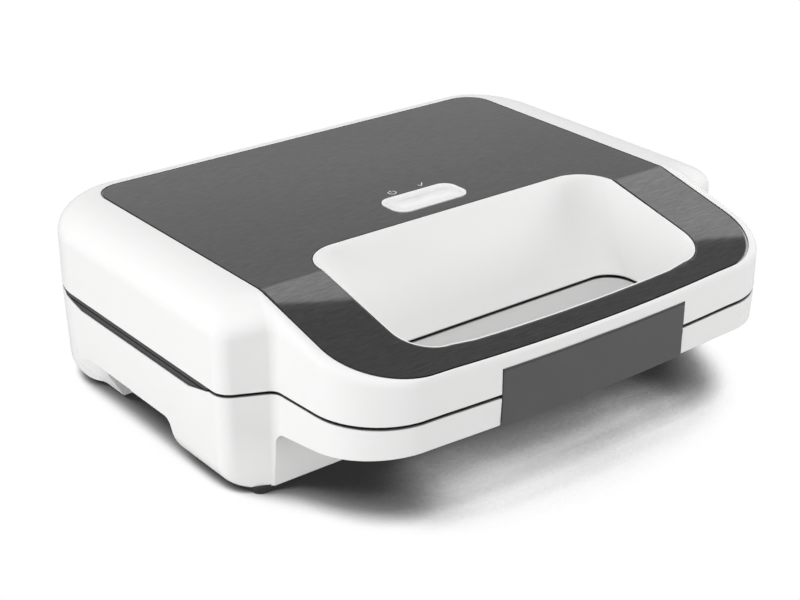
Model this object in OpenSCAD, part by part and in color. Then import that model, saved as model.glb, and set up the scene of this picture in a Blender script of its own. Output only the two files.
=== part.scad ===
// Two-slice sandwich toaster with a hinged lid, a finger grip through both halves and a front latch.
// Millimetres, +Z up, front towards -Y. The origin is on the table below the middle of the closed toaster.

/* [Body] */
// Width over the side walls at the parting line
body_w = 260; // [250:1:275]
// Depth from the rear wall to the front shoulders
body_d = 155; // [150:1:165]
// Height of the flat top above the table
body_h = 76.5; // [75:0.5:84]
// Height of the lid's lower edge above the table
lid_z = 43.1; // [42.5:0.1:46]
// Height of the belly above the table
belly_z = 13.8; // [11:0.1:14.2]
// Height of the side walls' lower edge between the legs
arch_z = 16.5; // [15:0.1:19]
// Thickness of the moulded walls at the rims
wall_t = 2.5; // [2:0.1:3]
// Radius of the rear corners, seen from above
rear_corner_r = 33; // [28:1:38]
// Radius of the front shoulders, seen from above
cheek_r = 12; // [9:1:14]
// Width of the soft shoulder between the side wall and the steel cover
shoulder_w = 25.1; // [22:0.1:27]
// Height of that shoulder
shoulder_h = 11.5; // [9:0.1:12.5]
// Depth of the rear shoulder behind the steel cover
rear_shoulder_d = 9.9; // [8:0.1:12]

/* [Legs and feet] */
// Width of each leg
leg_w = 51; // [46:1:56]
// Depth of the front legs
front_leg_d = 41; // [37:1:46]
// Depth of the rear legs
rear_leg_d = 50; // [45:1:54]
// Radius of the legs' rounded outer lower edge
leg_round_r = 9.5; // [7:0.5:11]
// Width of a rubber foot
foot_w = 34; // [28:1:36]
// Depth of a rubber foot
foot_d = 20; // [16:1:24]
// Height of a foot below the leg
foot_h = 2.4; // [2:0.1:4]

/* [Grip] */
// How far the grip reaches in front of the shoulders
grip_d = 55.1; // [52:0.1:60]
// Width of the grip
grip_w = 218; // [212:1:221]
// Radius of the grip's front corners
grip_corner_r = 30; // [26:1:34]
// Sagitta of the bowed front edge over its whole width
grip_bow = 6.1; // [4:0.1:8]
// Thickness of the bar in front of the finger opening
grip_bar_t = 11.7; // [11:0.1:14]
// Height of the lower grip half's underside at the body
grip_low_z = 25; // [23:0.5:27]
// Height that the underside gains towards the front
grip_rise = 5.5; // [4:0.5:7]
// Width of the finger opening at the top
well_w = 151.6; // [140:0.1:160]
// Width of the finger opening at the parting line
slot_w = 126; // [116:1:134]
// Distance from the front shoulders to the opening's rear edge at the top
well_back = 34.5; // [32:0.1:36]
// Distance from the front shoulders to the opening's rear edge at the parting line
slot_back = 2.1; // [1:0.1:3]

/* [Steel cover] */
// Thickness of the steel sheet
cover_t = 0.8; // [0.6:0.1:1.2]
// Distance from the rear wall to the bend line
cover_flat_d = 138; // [134:1:142]
// Slope of the front part, in degrees
cover_slope = 13.6; // [12:0.1:14.5]
// Radius of the cover's rear corners
cover_corner_r = 12; // [9:1:15]
// Width of the white lip that frames the sheet
lip_w = 1; // [0.8:0.1:1.3]
// Width of the indicator lens
lens_w = 38.2; // [34:0.1:42]
// Depth of the indicator lens
lens_d = 17; // [15:0.5:19]
// Distance from the finger opening to the lens
lens_gap = 7.2; // [6:0.1:9]
// Height of the lens rim above the sheet
lens_proud = 0.5; // [0.3:0.1:1]

/* [Cooking plates] */
// Thickness of the plates' rims
rim_t = 3; // [2.6:0.1:3.4]
// Distance from the front and rear of the body to the plates
plate_inset = 9.25; // [8.5:0.25:11]
// Depth of the sandwich pockets
pocket_depth = 11; // [9:0.5:11.5]
// Thickness of the pockets' walls
pocket_t = 2.5; // [2:0.1:2.8]
// Width of the rim round the pockets
plate_border = 8; // [7.5:0.5:11]
// Width of the ridges between the pockets
ridge_w = 8; // [6:0.5:11]
// Slope of the pocket walls, as inset per depth
pocket_taper = 0.6; // [0.4:0.05:0.8]
// Radius of the heating tubes
heater_r = 3.25; // [3:0.05:3.4]
// Thickness of the reflector trays
reflector_t = 0.6; // [0.5:0.1:0.8]

/* [Hinge] */
// Distance between the two hinges
hinge_span = 144; // [120:1:170]
// Radius of the hinge knuckles
knuckle_r = 4.5; // [4.2:0.1:5]
// Width of one hinge knuckle
knuckle_w = 9; // [7:0.5:12]
// Radius of the steel hinge pins
hinge_pin_r = 2; // [1.6:0.1:2.4]

/* [Latch] */
// Width of the latch flap
latch_w = 95.4; // [86:0.1:100]
// Height of the flap
latch_h = 27.2; // [25:0.1:28]
// Height of the flap's upper edge above the lid's lower edge
latch_top = 12.9; // [12:0.1:13.2]
// Thickness of the flap
latch_t = 3; // [2.6:0.1:3.2]
// How far the flap stands in front of the grip
latch_proud = 1.9; // [1.5:0.1:2.2]
// Radius of the latch's stub axles
latch_axle_r = 1.2; // [1:0.05:1.3]
// Swing of the flap that frees the latch, in degrees
latch_swing = 8; // [6:1:9]

/* [Cord gland] */
// Radius of the hole for the mains cord
cord_hole_r = 3.6; // [3:0.1:4.2]
// Radius of the gland's body
gland_r = 6.2; // [5.8:0.1:7]

/* [Fits] */
// Gap between the lid and the base at the parting line
parting_gap = 1.2; // [0.8:0.1:1.6]
// Gap between the two cooking plates
plate_gap = 0.5; // [0.4:0.1:0.8]
// Gap round pieces that drop into a recess
seat_gap = 0.25; // [0.2:0.05:0.4]
// Clearance of the latch and the hinge knuckles beside what they pass
side_gap = 0.4; // [0.3:0.05:0.6]
// Radial play of the turning pins in their bores
run_gap = 0.05; // [0.02:0.01:0.08]

/* [Hidden] */

// Colours
moulded_white = [0.95, 0.95, 0.94];
brushed_steel = [0.38, 0.38, 0.39];
flap_grey = [0.35, 0.35, 0.36];
non_stick = [0.22, 0.22, 0.23];
bright_steel = [0.72, 0.72, 0.74];
rubber_black = [0.12, 0.12, 0.12];
mica_brown = [0.55, 0.42, 0.28];

// Plan: the rearmost and the foremost point lie equally far from the origin
half_w = body_w / 2;
hinge_gap = 0.5;
hinge_out = hinge_gap + 2 * knuckle_r;
total_d = hinge_out + body_d + grip_d + latch_proud;
back_y = total_d / 2 - hinge_out;
neck_y = back_y - body_d;
nose_y = neck_y - grip_d;
bow = grip_bow / pow(grip_w / 2, 2);
neck_w = grip_w + 4;
cheek_drop = 9;
cover_w = body_w - 2 * shoulder_w;
cover_back_y = back_y - rear_shoulder_d;
bend_y = back_y - cover_flat_d;
grip_lip = 2;
cover_front_y = nose_y + grip_lip;

// Heights
base_z = lid_z - parting_gap;
plate_drop = 2;
upper_z = lid_z - plate_drop;
lower_z = upper_z - plate_gap;
slot_h = 3.5;
floor_t = 2.2;
floor_z = belly_z + floor_t;
ceiling_t = 4.7;
ceiling_z = body_h - cover_t - ceiling_t;
base_round_z = foot_h + leg_round_r;
axis_z = (lid_z + base_z) / 2;
axis_y = back_y + hinge_gap + knuckle_r;

// Finger opening
well_back_y = neck_y + well_back;
slot_back_y = neck_y + slot_back;
well_front_y = nose_y + grip_bar_t + lip_w;
slot_front_y = nose_y + grip_bar_t + 3;
base_slot_back_y = neck_y - 4;
well_rear_r = 16;
well_front_r = 15;
slot_r = 11;

// Cooking plates and what hangs below or above them
plate_w = body_w - 2 * wall_t - 1;
plate_front_y = neck_y + plate_inset;
plate_back_y = back_y - plate_inset;
plate_front_r = 12;
plate_rear_r = 28;
plate_fit = 0.5;
ledge_w = 5;
heater_fit = 0.1;
heater_w = 180;
heater_front_y = plate_front_y + 31;
heater_rear_y = plate_back_y - 26;
heater_bend_r = 12;
terminal_x = 14;
strap_t = 1;
strap_y = heater_front_y + 33.5;
tray_side = 14;
tray_front = 12;
tray_rear = 6;
tray_lip = 1;
tray_gap = 0.3;

// Heights of the heating parts. The pockets grow shallower where the housing leaves less room.
heater_room = pocket_t + 2 * (heater_r + heater_fit) + strap_t;
lower_spare = lower_z - floor_z - heater_room - reflector_t - tray_lip;
lower_depth = min(pocket_depth, lower_spare - 0.8);
lower_bed_z = lower_z - lower_depth - pocket_t;
upper_spare = ceiling_z - upper_z - heater_room - tray_gap - reflector_t;
upper_share = 0.6;
upper_depth = min(pocket_depth, upper_share * upper_spare);
upper_bed_z = upper_z + upper_depth + pocket_t;
upper_tray_z = upper_z + upper_depth + heater_room + tray_gap;
screw_y = [plate_front_y + 64, plate_back_y - 14];
screw_r = 1.5;
post_r = 4;

// Latch
latch_axis_d = 4;
latch_axis_y = nose_y + latch_axis_d;
latch_axis_z = lid_z + 8.4;
latch_axle_l = 3;
latch_foot_z = lid_z + latch_top - latch_h;
latch_bed = latch_t - latch_proud + side_gap;
cheek_t = 3;
pad_lean = 0.6;

// Legs and feet
leg_in_x = half_w - leg_w;
leg_lean = 8;
front_arch_y = neck_y + front_leg_d;
rear_arch_y = back_y - 5 - rear_leg_d;
foot_seat = 0.6;
foot_x = half_w - leg_round_r - 1 - foot_w / 2;
front_foot_y = neck_y + 2.3 + foot_d / 2;
rear_foot_y = rear_arch_y + 2.5 + foot_d / 2;

// Screws, lamps, board, reflector of the lid, sensors and gland
screw_head_r = 2.8;
screw_head_h = 1.8;
screw_sunk = 0.4;
screw_bite = 8;
heater_end_y = plate_back_y - ledge_w - 6;
lens_front_y = well_back_y + lip_w + seat_gap + lens_gap;
lens_y = lens_front_y + lens_d / 2;
lens_z = body_h - cover_t - 2.5;
board_t = 1.6;
board_share = 5 / 6;
board_z = ceiling_z - board_share * (upper_spare - upper_depth);
board_post_x = 16;
board_post_r = 2.2;
lamp_x = 8;
lamp_r = 2.5;
lamp_gap = 1.1;
lamp_h = lens_z - lamp_gap - board_z - board_t;
sensor_x = 38;
sensor_y = plate_front_y + 86.5;
thermo_r = 8;
thermo_h = 6;
fuse_r = 2;
terminal_block_y = heater_rear_y + 14;
pocket_r = 8;
gland_z = (belly_z + lower_z - rim_t) / 2;
gland_in_y = plate_back_y - ledge_w - 1;
flange_r = 8.3;
flange_t = 1;
gland_proud = 1.8;

$fn = 48;

// Unit vector along v
function unit(v) = v / norm(v);
// Distance from the corner v to the ends of an arc of radius r between its sides
function reach(p, v, q, r) = let (c = unit(v - p) * unit(q - v)) r * sqrt((1 - c) / (1 + c));
// Arc of n steps that leaves one side of the corner v and joins the other, e away from it
function arc(p, v, q, e, n) =
    let (a = v + e * unit(p - v), b = v + e * unit(q - v), w = sqrt((1 + unit(v - p) * unit(q - v)) / 2))
    [for (i = [0:n]) let (t = i / n, m = 2 * w * t * (1 - t))
        (pow(1 - t, 2) * a + m * v + t * t * b) / (pow(1 - t, 2) + m + t * t)];
// The same with a radius instead of a distance
function round_corner(p, v, q, r, n) = arc(p, v, q, max(reach(p, v, q, r), 3), n);
// Height gained behind a bowed front edge at x
function bow_at(x) = bow * x * x;
// Radius about the latch axis, d behind the grip's face, that clears the flap's upper edge as it swings
function latch_reach(d) =
    let (h = lid_z + latch_top - latch_axis_z, a = (d + h * sin(latch_swing)) / cos(latch_swing))
    norm([d, a * sin(latch_swing) + h * cos(latch_swing) + side_gap]);

// Right half of a body outline, from the rear middle to the front middle. w: half width at the sides,
// b: rear y, r: rear radius, cy: shoulder y, nx and ny: neck, gw: half width of the grip, ny2: nose y
function body_half(w, b, r, cy, nx, ny, gw, ny2) =
    let (corner = [w, b], cheek = [w, cy], neck = [nx, ny], nose = [gw, ny2 + bow_at(gw)],
         ahead = nose - [1, 2 * bow * gw],
         turn = round_corner(neck, nose, ahead, grip_corner_r, 12),
         last = turn[12][0])
    concat(round_corner([0, b], corner, cheek, r, 12),
           round_corner(corner, cheek, neck, cheek_r, 6),
           round_corner(cheek, neck, nose, 3, 4),
           turn,
           [for (i = [1:3]) let (x = last * (1 - i / 4)) [x, ny2 + bow_at(x)]]);
// Outline of the body and grip at the parting line, drawn in by d
function parting_half(d) =
    body_half(half_w - d, back_y - d, rear_corner_r, neck_y + cheek_drop + 0.2 * d, neck_w / 2, neck_y + d,
              grip_w / 2 - d, nose_y + 2 * d);
// Outline of the steel cover, grown by g
function cover_half(g) =
    body_half(cover_w / 2 + g, cover_back_y + g, cover_corner_r + g, bend_y + 9, cover_w / 2 + g, bend_y,
              cover_w / 2 + g, cover_front_y - g);
// Outline on which the legs stand
function sole_half() =
    body_half(half_w - leg_round_r, back_y - 5, rear_corner_r - 5, neck_y + 4.4, neck_w / 2, neck_y + 1.4,
              grip_w / 2 - 2, nose_y + 3);
// Right half of a finger opening with its rear edge at b and its front edge at f
function opening_half(w, b, f, rb, rf) =
    let (front = [w, f + bow_at(w)])
    concat(arc([0, b], [w, b], front, rb, 8),
           arc([w, b], front, [0, front[1]], rf, 8),
           [for (i = [1:3]) let (x = (w - rf) * (1 - i / 4)) [x, f + bow_at(x)]]);
// Right half of a rounded plate outline
function plate_half(g) =
    let (w = plate_w / 2 + g, b = plate_back_y + g, f = plate_front_y - g)
    concat(arc([0, b], [w, b], [w, f], plate_rear_r + g, 8),
           arc([w, b], [w, f], [0, f], plate_front_r + g, 6));

// Height of the steel cover's upper face
function top_at(y) = y > bend_y ? body_h : body_h - tan(cover_slope) * (bend_y - y);
// Both halves of an outline as one closed ring, with or without heights
function both(h) = concat(h, [for (i = [len(h) - 1:-1:0]) let (p = h[i])
    len(p) == 2 ? [-p[0], p[1]] : [-p[0], p[1], p[2]]]);

// Solid through closed rings of equal length, from the lowest to the highest. Its ends are strips from
// side to side, so an outline may be waisted and an end may be bent.
module loft(rings) {
    n = len(rings[0]);
    last = (len(rings) - 1) * n;
    sides = [for (r = [0:len(rings) - 2]) for (i = [0:n - 1]) let (j = (i + 1) % n, a = r * n, b = a + n)
        each [[a + i, a + j, b + j], [a + i, b + j, b + i]]];
    ends = [for (i = [0:n / 2 - 2]) let (m = n - 1 - i)
        each [[i, m, m - 1], [i, m - 1, i + 1],
              [last + i, last + i + 1, last + m - 1], [last + i, last + m - 1, last + m]]];
    polyhedron(points = [for (r = rings) each r], faces = concat(sides, ends), convexity = 8);
}

// Upright prism of an outline's both halves
module prism(h, z0, z1) {
    translate([0, 0, z0]) linear_extrude(z1 - z0) polygon(both(h));
}

// Slab that follows the cover's bend, from d below its upper face to a above it
module bent_slab(d, a) {
    ys = [back_y, bend_y, nose_y - 5];
    rotate([90, 0, 90]) linear_extrude(body_w + 20, center = true)
        polygon(concat([for (y = ys) [y, top_at(y) + a]], [for (i = [2:-1:0]) [ys[i], top_at(ys[i]) - d]]));
}

// Box given by its two opposite corners
module box(a, b) {
    translate(a) cube(b - a);
}

// Both mirror images across the middle plane
module pair() {
    for (s = [0, 1]) mirror([s, 0, 0]) children();
}

// Cylinder along X between x0 and x1
module bar_x(x0, x1, y, z, r) {
    translate([x0, y, z]) rotate([0, 90, 0]) cylinder(h = x1 - x0, r = r);
}

// Outer skin of the lid: upright walls, a soft shoulder, a thin lip and the bent floor that carries the
// steel cover
module lid_skin() {
    low = parting_half(0);
    high = cover_half(lip_w);
    seat = cover_half(seat_gap);
    widest = shoulder_w - lip_w;
    rolls = 8;
    heights = [for (i = [0:len(low) - 1]) shoulder_h * pow(min(norm(low[i] - high[i]) / widest, 1), 0.7)];
    intersection() {
        loft(concat(
            [both([for (p = low) [p[0], p[1], lid_z - 2]])],
            [for (r = [0:rolls]) let (a = 90 * r / rolls)
                both([for (i = [0:len(low) - 1]) let (p = high[i] + (low[i] - high[i]) * cos(a))
                    [p[0], p[1], top_at(high[i][1]) - heights[i] * (1 - sin(a))]])],
            [for (d = [0, cover_t]) both([for (p = seat) [p[0], p[1], top_at(p[1]) - d]])]));
        box([-body_w, -body_d, lid_z], [body_w, body_d, body_h + 5]);
    }
}

// Finger opening of the lid, grown by g, with its walls sloping in towards the parting line
module lid_well(g) {
    low = opening_half(slot_w / 2 + g, slot_back_y + g, slot_front_y - g, slot_r, slot_r);
    high = opening_half(well_w / 2 + g, well_back_y + g, well_front_y - g, well_rear_r, well_front_r);
    steps = 6;
    bulge = 0.3;
    out = [for (s = [0:steps]) let (t = s / steps) (1 - bulge) * t + bulge * sin(90 * t)];
    up = [for (s = [0:steps]) let (t = s / steps) (1 - bulge) * t + bulge * (1 - cos(90 * t))];
    past = 1.5;
    outs = concat([for (s = [0:steps - 1]) out[s]], [out[steps - 1] + past * (1 - out[steps - 1])]);
    ups = concat([for (s = [0:steps - 1]) up[s]], [up[steps - 1] + past * (1 - up[steps - 1])]);
    loft(concat(
        [both([for (p = low) [p[0], p[1], lid_z - 2]])],
        [for (s = [0:steps]) both([for (i = [0:len(low) - 1]) let (p = low[i] + (high[i] - low[i]) * outs[s])
            [p[0], p[1], lid_z + (top_at(high[i][1]) - lid_z) * ups[s]]])]));
}

// Finger opening of the base
module base_well() {
    high = opening_half(slot_w / 2, slot_back_y, slot_front_y, slot_r, slot_r);
    low = opening_half(slot_w / 2 - 2, base_slot_back_y, slot_front_y, slot_r, slot_r);
    loft([both([for (p = low) [p[0], p[1], grip_low_z - 2]]),
          both([for (p = low) [p[0], p[1], grip_low_z + 3]]),
          both([for (p = high) [p[0], p[1], base_z]]),
          both([for (p = high) [p[0], p[1], base_z + 2]])]);
}

// Outer skin of the base with its rounded sole edge
module base_skin() {
    top = parting_half(0);
    drafted = parting_half(0.8);
    sole = sole_half();
    rolls = 7;
    intersection() {
        loft(concat(
            [both([for (p = sole) [p[0], p[1], foot_h - 2]])],
            [for (r = [0:rolls]) let (a = 90 * r / rolls)
                both([for (i = [0:len(top) - 1]) let (p = sole[i] + (drafted[i] - sole[i]) * sin(a))
                    [p[0], p[1], foot_h + leg_round_r * (1 - cos(a))]])],
            [both([for (p = top) [p[0], p[1], base_z]])],
            [both([for (p = top) [p[0], p[1], base_z + 2]])]));
        box([-body_w, -body_d, foot_h], [body_w, body_d, base_z]);
    }
}

// Room below the lower grip half
module under_grip() {
    rotate([90, 0, 90]) linear_extrude(body_w + 20, center = true)
        polygon([[neck_y + 1.4, -1], [neck_y, grip_low_z], [nose_y, grip_low_z + grip_rise],
                 [nose_y - 10, grip_low_z + grip_rise], [nose_y - 10, -1]]);
}

// Room between the front and the rear legs, up to z, from x0 to x1
module arch(z, x0, x1) {
    front = [front_arch_y, -1];
    top = [front_arch_y + leg_lean, z];
    rear = [rear_arch_y, z];
    translate([x0, 0, 0]) rotate([90, 0, 90]) linear_extrude(x1 - x0)
        polygon(concat([front], round_corner(front, top, rear, 5, 5),
                       round_corner(top, rear, [rear_arch_y, -1], 5, 5), [[rear_arch_y, -1]]));
}

// Slanted scoop out of a rear leg's outer lower edge that runs out softly towards the rear
module scoop() {
    low = [half_w - leg_round_r + 0.5, foot_h];
    high = [half_w - 0.7, arch_z + 0.5];
    out = high + (high - low) / 2;
    under = low - (high - low) / 4;
    hull() {
        translate([0, rear_arch_y + 14, 0]) rotate([90, 0, 0]) linear_extrude(36)
            polygon([under, out, [out[0], under[1]]]);
        translate([out[0] - 1, rear_arch_y + 26, low[1]]) cube([1, 1, high[1] - low[1]]);
    }
}

// Strip cut from a side wall that shows the rims of the cooking plates
module side_slot() {
    y0 = plate_front_y + 8;
    y1 = plate_back_y - plate_rear_r + 11;
    translate([plate_w / 2 - 3, 0, 0]) rotate([90, 0, 90]) linear_extrude(20)
        polygon([[y0, base_z + 1], [y0, base_z - 0.3], [y0 + 14, base_z - slot_h], [y1 - 14, base_z - slot_h],
                 [y1, base_z - 0.3], [y1, base_z + 1]]);
}

// Hinge knuckle between x0 and x1 with a web from z0 to z1 into the wall
module knuckle(x0, x1, z0, z1) {
    bar_x(x0, x1, axis_y, axis_z, knuckle_r);
    box([x0, back_y - 1.5, z0], [x1, axis_y, z1]);
}

// Slab that follows the bow of the grip's front, between the depths d0 and d1 behind it
module bowed_slab(d0, d1, w, z0, z1) {
    xs = [for (i = [-4:4]) i * w / 8];
    translate([0, 0, z0]) linear_extrude(z1 - z0)
        polygon(concat([for (x = xs) [x, nose_y + d0 + bow_at(x)]],
                       [for (i = [8:-1:0]) [xs[i], nose_y + d1 + bow_at(xs[i])]]));
}

module base_shell() {
    color(moulded_white) difference() {
        union() {
            difference() {
                base_skin();
                under_grip();
                box([-leg_in_x, nose_y, -1], [leg_in_x, back_y + 5, belly_z]);
                arch(belly_z, -body_w, body_w);
                pair() arch(arch_z, half_w - 5.5, half_w + 5);
                pair() scoop();
                pair() side_slot();
            }
            pair() for (c = [-1, 1]) {
                x = hinge_span / 2 + c * (knuckle_w + side_gap);
                knuckle(x - knuckle_w / 2, x + knuckle_w / 2, axis_z - knuckle_r, base_z);
            }
        }
        prism(plate_half(-ledge_w), floor_z, base_z);
        prism(plate_half(plate_fit), lower_z - rim_t, base_z + 1);
        base_well();
        bowed_slab(-5, latch_bed, latch_w + 2 * side_gap, latch_foot_z - 5, base_z + 1);
        catch_pad(side_gap, 1);
        bar_x(-body_w, body_w, axis_y, axis_z, hinge_pin_r);
        for (y = screw_y) translate([0, y, belly_z - 1]) {
            cylinder(h = floor_t + 5, r = screw_r + run_gap);
            cylinder(h = 1 + screw_sunk, r = screw_head_r + side_gap);
        }
        gland_hole();
        for (x = [-1, 1], y = [front_foot_y, rear_foot_y]) translate([x * foot_x, y, foot_h])
            foot_body(seat_gap, foot_seat);
    }
}

// Hole and spot face for the cord gland
module gland_hole() {
    translate([0, back_y - flange_t, gland_z]) rotate([-90, 0, 0]) cylinder(h = 20, r = flange_r + seat_gap);
    translate([0, gland_in_y - 5, gland_z]) rotate([-90, 0, 0]) cylinder(h = 40, r = gland_r + run_gap);
}

// Cord gland: a flanged bush through the rear wall
module cord_gland() {
    color(rubber_black) translate([0, 0, gland_z]) rotate([-90, 0, 0]) difference() {
        union() {
            translate([0, 0, gland_in_y]) cylinder(h = back_y - gland_in_y, r = gland_r);
            translate([0, 0, back_y - flange_t]) cylinder(h = flange_t + gland_proud, r = flange_r);
        }
        translate([0, 0, gland_in_y - 1]) cylinder(h = 40, r = cord_hole_r);
    }
}

// Rounded foot outline grown by g and h high
module foot_body(g, h) {
    translate([0, 0, -1]) linear_extrude(h + 1)
        offset(r = 3 + g) square([foot_w - 6, foot_d - 6], center = true);
}

// Rubber foot in its shallow seat
module foot(x, y) {
    color(rubber_black) translate([x * foot_x, y, 0]) linear_extrude(foot_h + foot_seat)
        offset(r = 3) square([foot_w - 6, foot_d - 6], center = true);
}
module foot_front_left() foot(-1, front_foot_y);
module foot_front_right() foot(1, front_foot_y);
module foot_rear_left() foot(-1, rear_foot_y);
module foot_rear_right() foot(1, rear_foot_y);

// Rounded outline of the indicator lens, grown by g
module lens_outline(g) {
    translate([0, lens_y]) offset(r = 6 + g) square([lens_w - 12, lens_d - 12], center = true);
}

// Raised lip round the finger opening
module window_lip() {
    intersection() {
        prism(window_half(0), lid_z, body_h + 12);
        bent_slab(cover_t + 2, 0);
    }
}
// Outline of the raised lip round the finger opening, grown by g
function window_half(g) =
    let (o = lip_w + g)
    opening_half(well_w / 2 + o, well_back_y + o, well_front_y - o, well_rear_r + o, well_front_r + o);

module lid_shell() {
    color(moulded_white) difference() {
        union() {
            difference() {
                union() {
                    lid_skin();
                    window_lip();
                }
                difference() {
                    prism(plate_half(-ledge_w), lid_z, ceiling_z);
                    lid_well(wall_t);
                }
                prism(plate_half(plate_fit), lid_z - 1, upper_z + rim_t);
                lid_well(0);
            }
            pair() knuckle(hinge_span / 2 - knuckle_w / 2, hinge_span / 2 + knuckle_w / 2, lid_z,
                           axis_z + knuckle_r);
            for (y = screw_y) translate([0, y, upper_tray_z + reflector_t])
                cylinder(h = ceiling_z + 1 - upper_tray_z - reflector_t, r = post_r);
            for (x = [-1, 1]) translate([x * board_post_x, lens_y, board_z + board_t])
                cylinder(h = ceiling_z + 1 - board_z - board_t, r = board_post_r);
        }
        pair() bar_x(0, body_w, axis_y, axis_z, hinge_pin_r + run_gap);
        for (y = screw_y) translate([0, y, 0]) {
            translate([0, 0, lid_z]) cylinder(h = body_h, r = screw_r + run_gap);
            translate([0, 0, body_h - cover_t - screw_head_h]) cylinder(h = 10, r = screw_head_r + side_gap);
        }
        translate([0, 0, lens_z]) linear_extrude(20) lens_outline(seat_gap);
        for (x = [-1, 1]) translate([x * lamp_x, lens_y, ceiling_z - 1])
            cylinder(h = 20, r = lamp_r + side_gap);
        bowed_slab(-5, latch_bed, latch_w + 2 * side_gap, lid_z - 1, latch_axis_z);
        pair() translate([0, latch_axis_y, latch_axis_z]) rotate([0, 90, 0])
            cylinder(h = latch_w / 2 + side_gap, r1 = latch_reach(latch_axis_d),
                     r2 = latch_reach(latch_axis_d - bow_at(latch_w / 2)));
        bar_x(-latch_w / 2 - latch_axle_l - side_gap, latch_w / 2 + latch_axle_l + side_gap, latch_axis_y,
              latch_axis_z, latch_axle_r + run_gap);
    }
}

// Bent steel sheet on the lid
module top_cover() {
    color(brushed_steel) difference() {
        intersection() {
            prism(cover_half(0), lid_z, body_h + 10);
            bent_slab(cover_t, 0);
        }
        prism(window_half(seat_gap), lid_z - 1, body_h + 12);
        translate([0, 0, lens_z]) linear_extrude(20) lens_outline(seat_gap);
    }
}

// Lens over both lamps, with a raised rim
module indicator_lens() {
    color([0.96, 0.96, 0.95, 0.8]) difference() {
        translate([0, 0, lens_z]) linear_extrude(body_h + lens_proud - lens_z) lens_outline(0);
        translate([0, 0, body_h]) linear_extrude(5) lens_outline(-1.4);
    }
}

// Lamp with a domed end, standing on the lamp board
module lamp(x) {
    translate([x, lens_y, board_z + board_t]) {
        cylinder(h = lamp_h - lamp_r, r = lamp_r);
        translate([0, 0, lamp_h - lamp_r]) sphere(r = lamp_r);
    }
}
module power_lamp() color([0.85, 0.3, 0.2]) lamp(-lamp_x);
module ready_lamp() color([0.3, 0.75, 0.35]) lamp(lamp_x);

// Small board under the ceiling of the lid that carries both lamps
module lamp_board() {
    color(mica_brown) translate([0, lens_y, board_z]) linear_extrude(board_t)
        square([2 * board_post_x + 8, 12], center = true);
}

// Triangle t drawn in by d on all sides
function inner_triangle(t, d) =
    let (a = norm(t[1] - t[2]), b = norm(t[2] - t[0]), c = norm(t[0] - t[1]), s = (a + b + c) / 2,
         mid = (a * t[0] + b * t[1] + c * t[2]) / (2 * s), r = sqrt((s - a) * (s - b) * (s - c) / s))
    [for (p = t) mid + (p - mid) * (1 - d / r)];
// The same with rounded corners of radius r
function round_triangle(t, d, r) =
    let (v = inner_triangle(t, d))
    [for (i = [0:2]) let (p = v[(i + 2) % 3], q = v[(i + 1) % 3])
        each arc(p, v[i], q, reach(p, v[i], q, r), 6)];

// Sandwich pocket d deep under the triangle t, opening at z0 and closed at z1, grown by g
module pocket(t, d, g, z0, z1) {
    mouth = round_triangle(t, ridge_w / 2 - g, pocket_r + g);
    bed = round_triangle(t, ridge_w / 2 - g + pocket_taper * d, pocket_r + g);
    n = len(mouth);
    sides = [for (i = [0:n - 1]) let (j = (i + 1) % n) each [[n + i, n + j, j], [n + i, j, i]]];
    polyhedron(points = concat([for (p = bed) [p[0], p[1], z1]], [for (p = mouth) [p[0], p[1], z0]]),
               faces = concat([[for (i = [0:n - 1]) i]], [[for (i = [n - 1:-1:0]) n + i]],
                              [for (s = sides) [s[2], s[1], s[0]]]), convexity = 4);
}

// Cast plate with two sandwich pockets d deep on each side, cooking face at z = 0 and body below it
module cooking_plate(d, post_h) {
    edge = plate_border - ridge_w / 2;
    x1 = plate_w / 2 - edge;
    y0 = plate_front_y + edge;
    y1 = plate_back_y - edge;
    triangles = [[[0, y0], [x1, y0], [x1, y1]], [[0, y0], [x1, y1], [0, y1]]];
    difference() {
        union() {
            prism(plate_half(0), -rim_t, 0);
            pair() for (t = triangles) pocket(t, d, pocket_t, -rim_t / 2, -d - pocket_t);
            for (y = screw_y) translate([0, y, -post_h]) cylinder(h = post_h - rim_t / 2, r = post_r);
        }
        pair() for (t = triangles) pocket(t, d, 0, 0, -d);
        for (y = screw_y) translate([0, y, -post_h - 1]) cylinder(h = screw_bite + 1, r = screw_r + run_gap);
    }
}
module lower_cooking_plate() color(non_stick) translate([0, 0, lower_z])
    cooking_plate(lower_depth, lower_z - floor_z - reflector_t);
module upper_cooking_plate() color(non_stick) translate([0, 0, upper_z]) mirror([0, 0, 1])
    cooking_plate(upper_depth, upper_tray_z - upper_z);

// Quarter bend of a heating tube round c, from the angle a
module tube_bend(c, a) {
    translate(c) rotate([0, 0, a]) rotate_extrude(angle = 90)
        translate([heater_bend_r, 0]) circle(r = heater_r);
}

// Bent heating tube at height z, with a steel pin at each end
module heating_element(z) {
    x1 = heater_w / 2;
    r = heater_bend_r;
    pair() translate([0, 0, z]) {
        translate([terminal_x, heater_end_y, 0]) rotate([-90, 0, 0]) cylinder(h = 5, r = 1.2);
        translate([terminal_x, heater_rear_y + r, 0]) rotate([-90, 0, 0])
            cylinder(h = heater_end_y - heater_rear_y - r, r = heater_r);
        tube_bend([terminal_x + r, heater_rear_y + r], 180);
        bar_x(terminal_x + r, x1 - r, heater_rear_y, 0, heater_r);
        tube_bend([x1 - r, heater_rear_y - r], 0);
        translate([x1, heater_front_y + r, 0]) rotate([-90, 0, 0])
            cylinder(h = heater_rear_y - heater_front_y - 2 * r, r = heater_r);
        tube_bend([x1 - r, heater_front_y + r], -90);
        bar_x(0, x1 - r, heater_front_y, 0, heater_r);
    }
}
module lower_heating_element() color(bright_steel) heating_element(lower_bed_z - heater_fit - heater_r);
module upper_heating_element() color(bright_steel) heating_element(upper_bed_z + heater_fit + heater_r);

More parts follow.
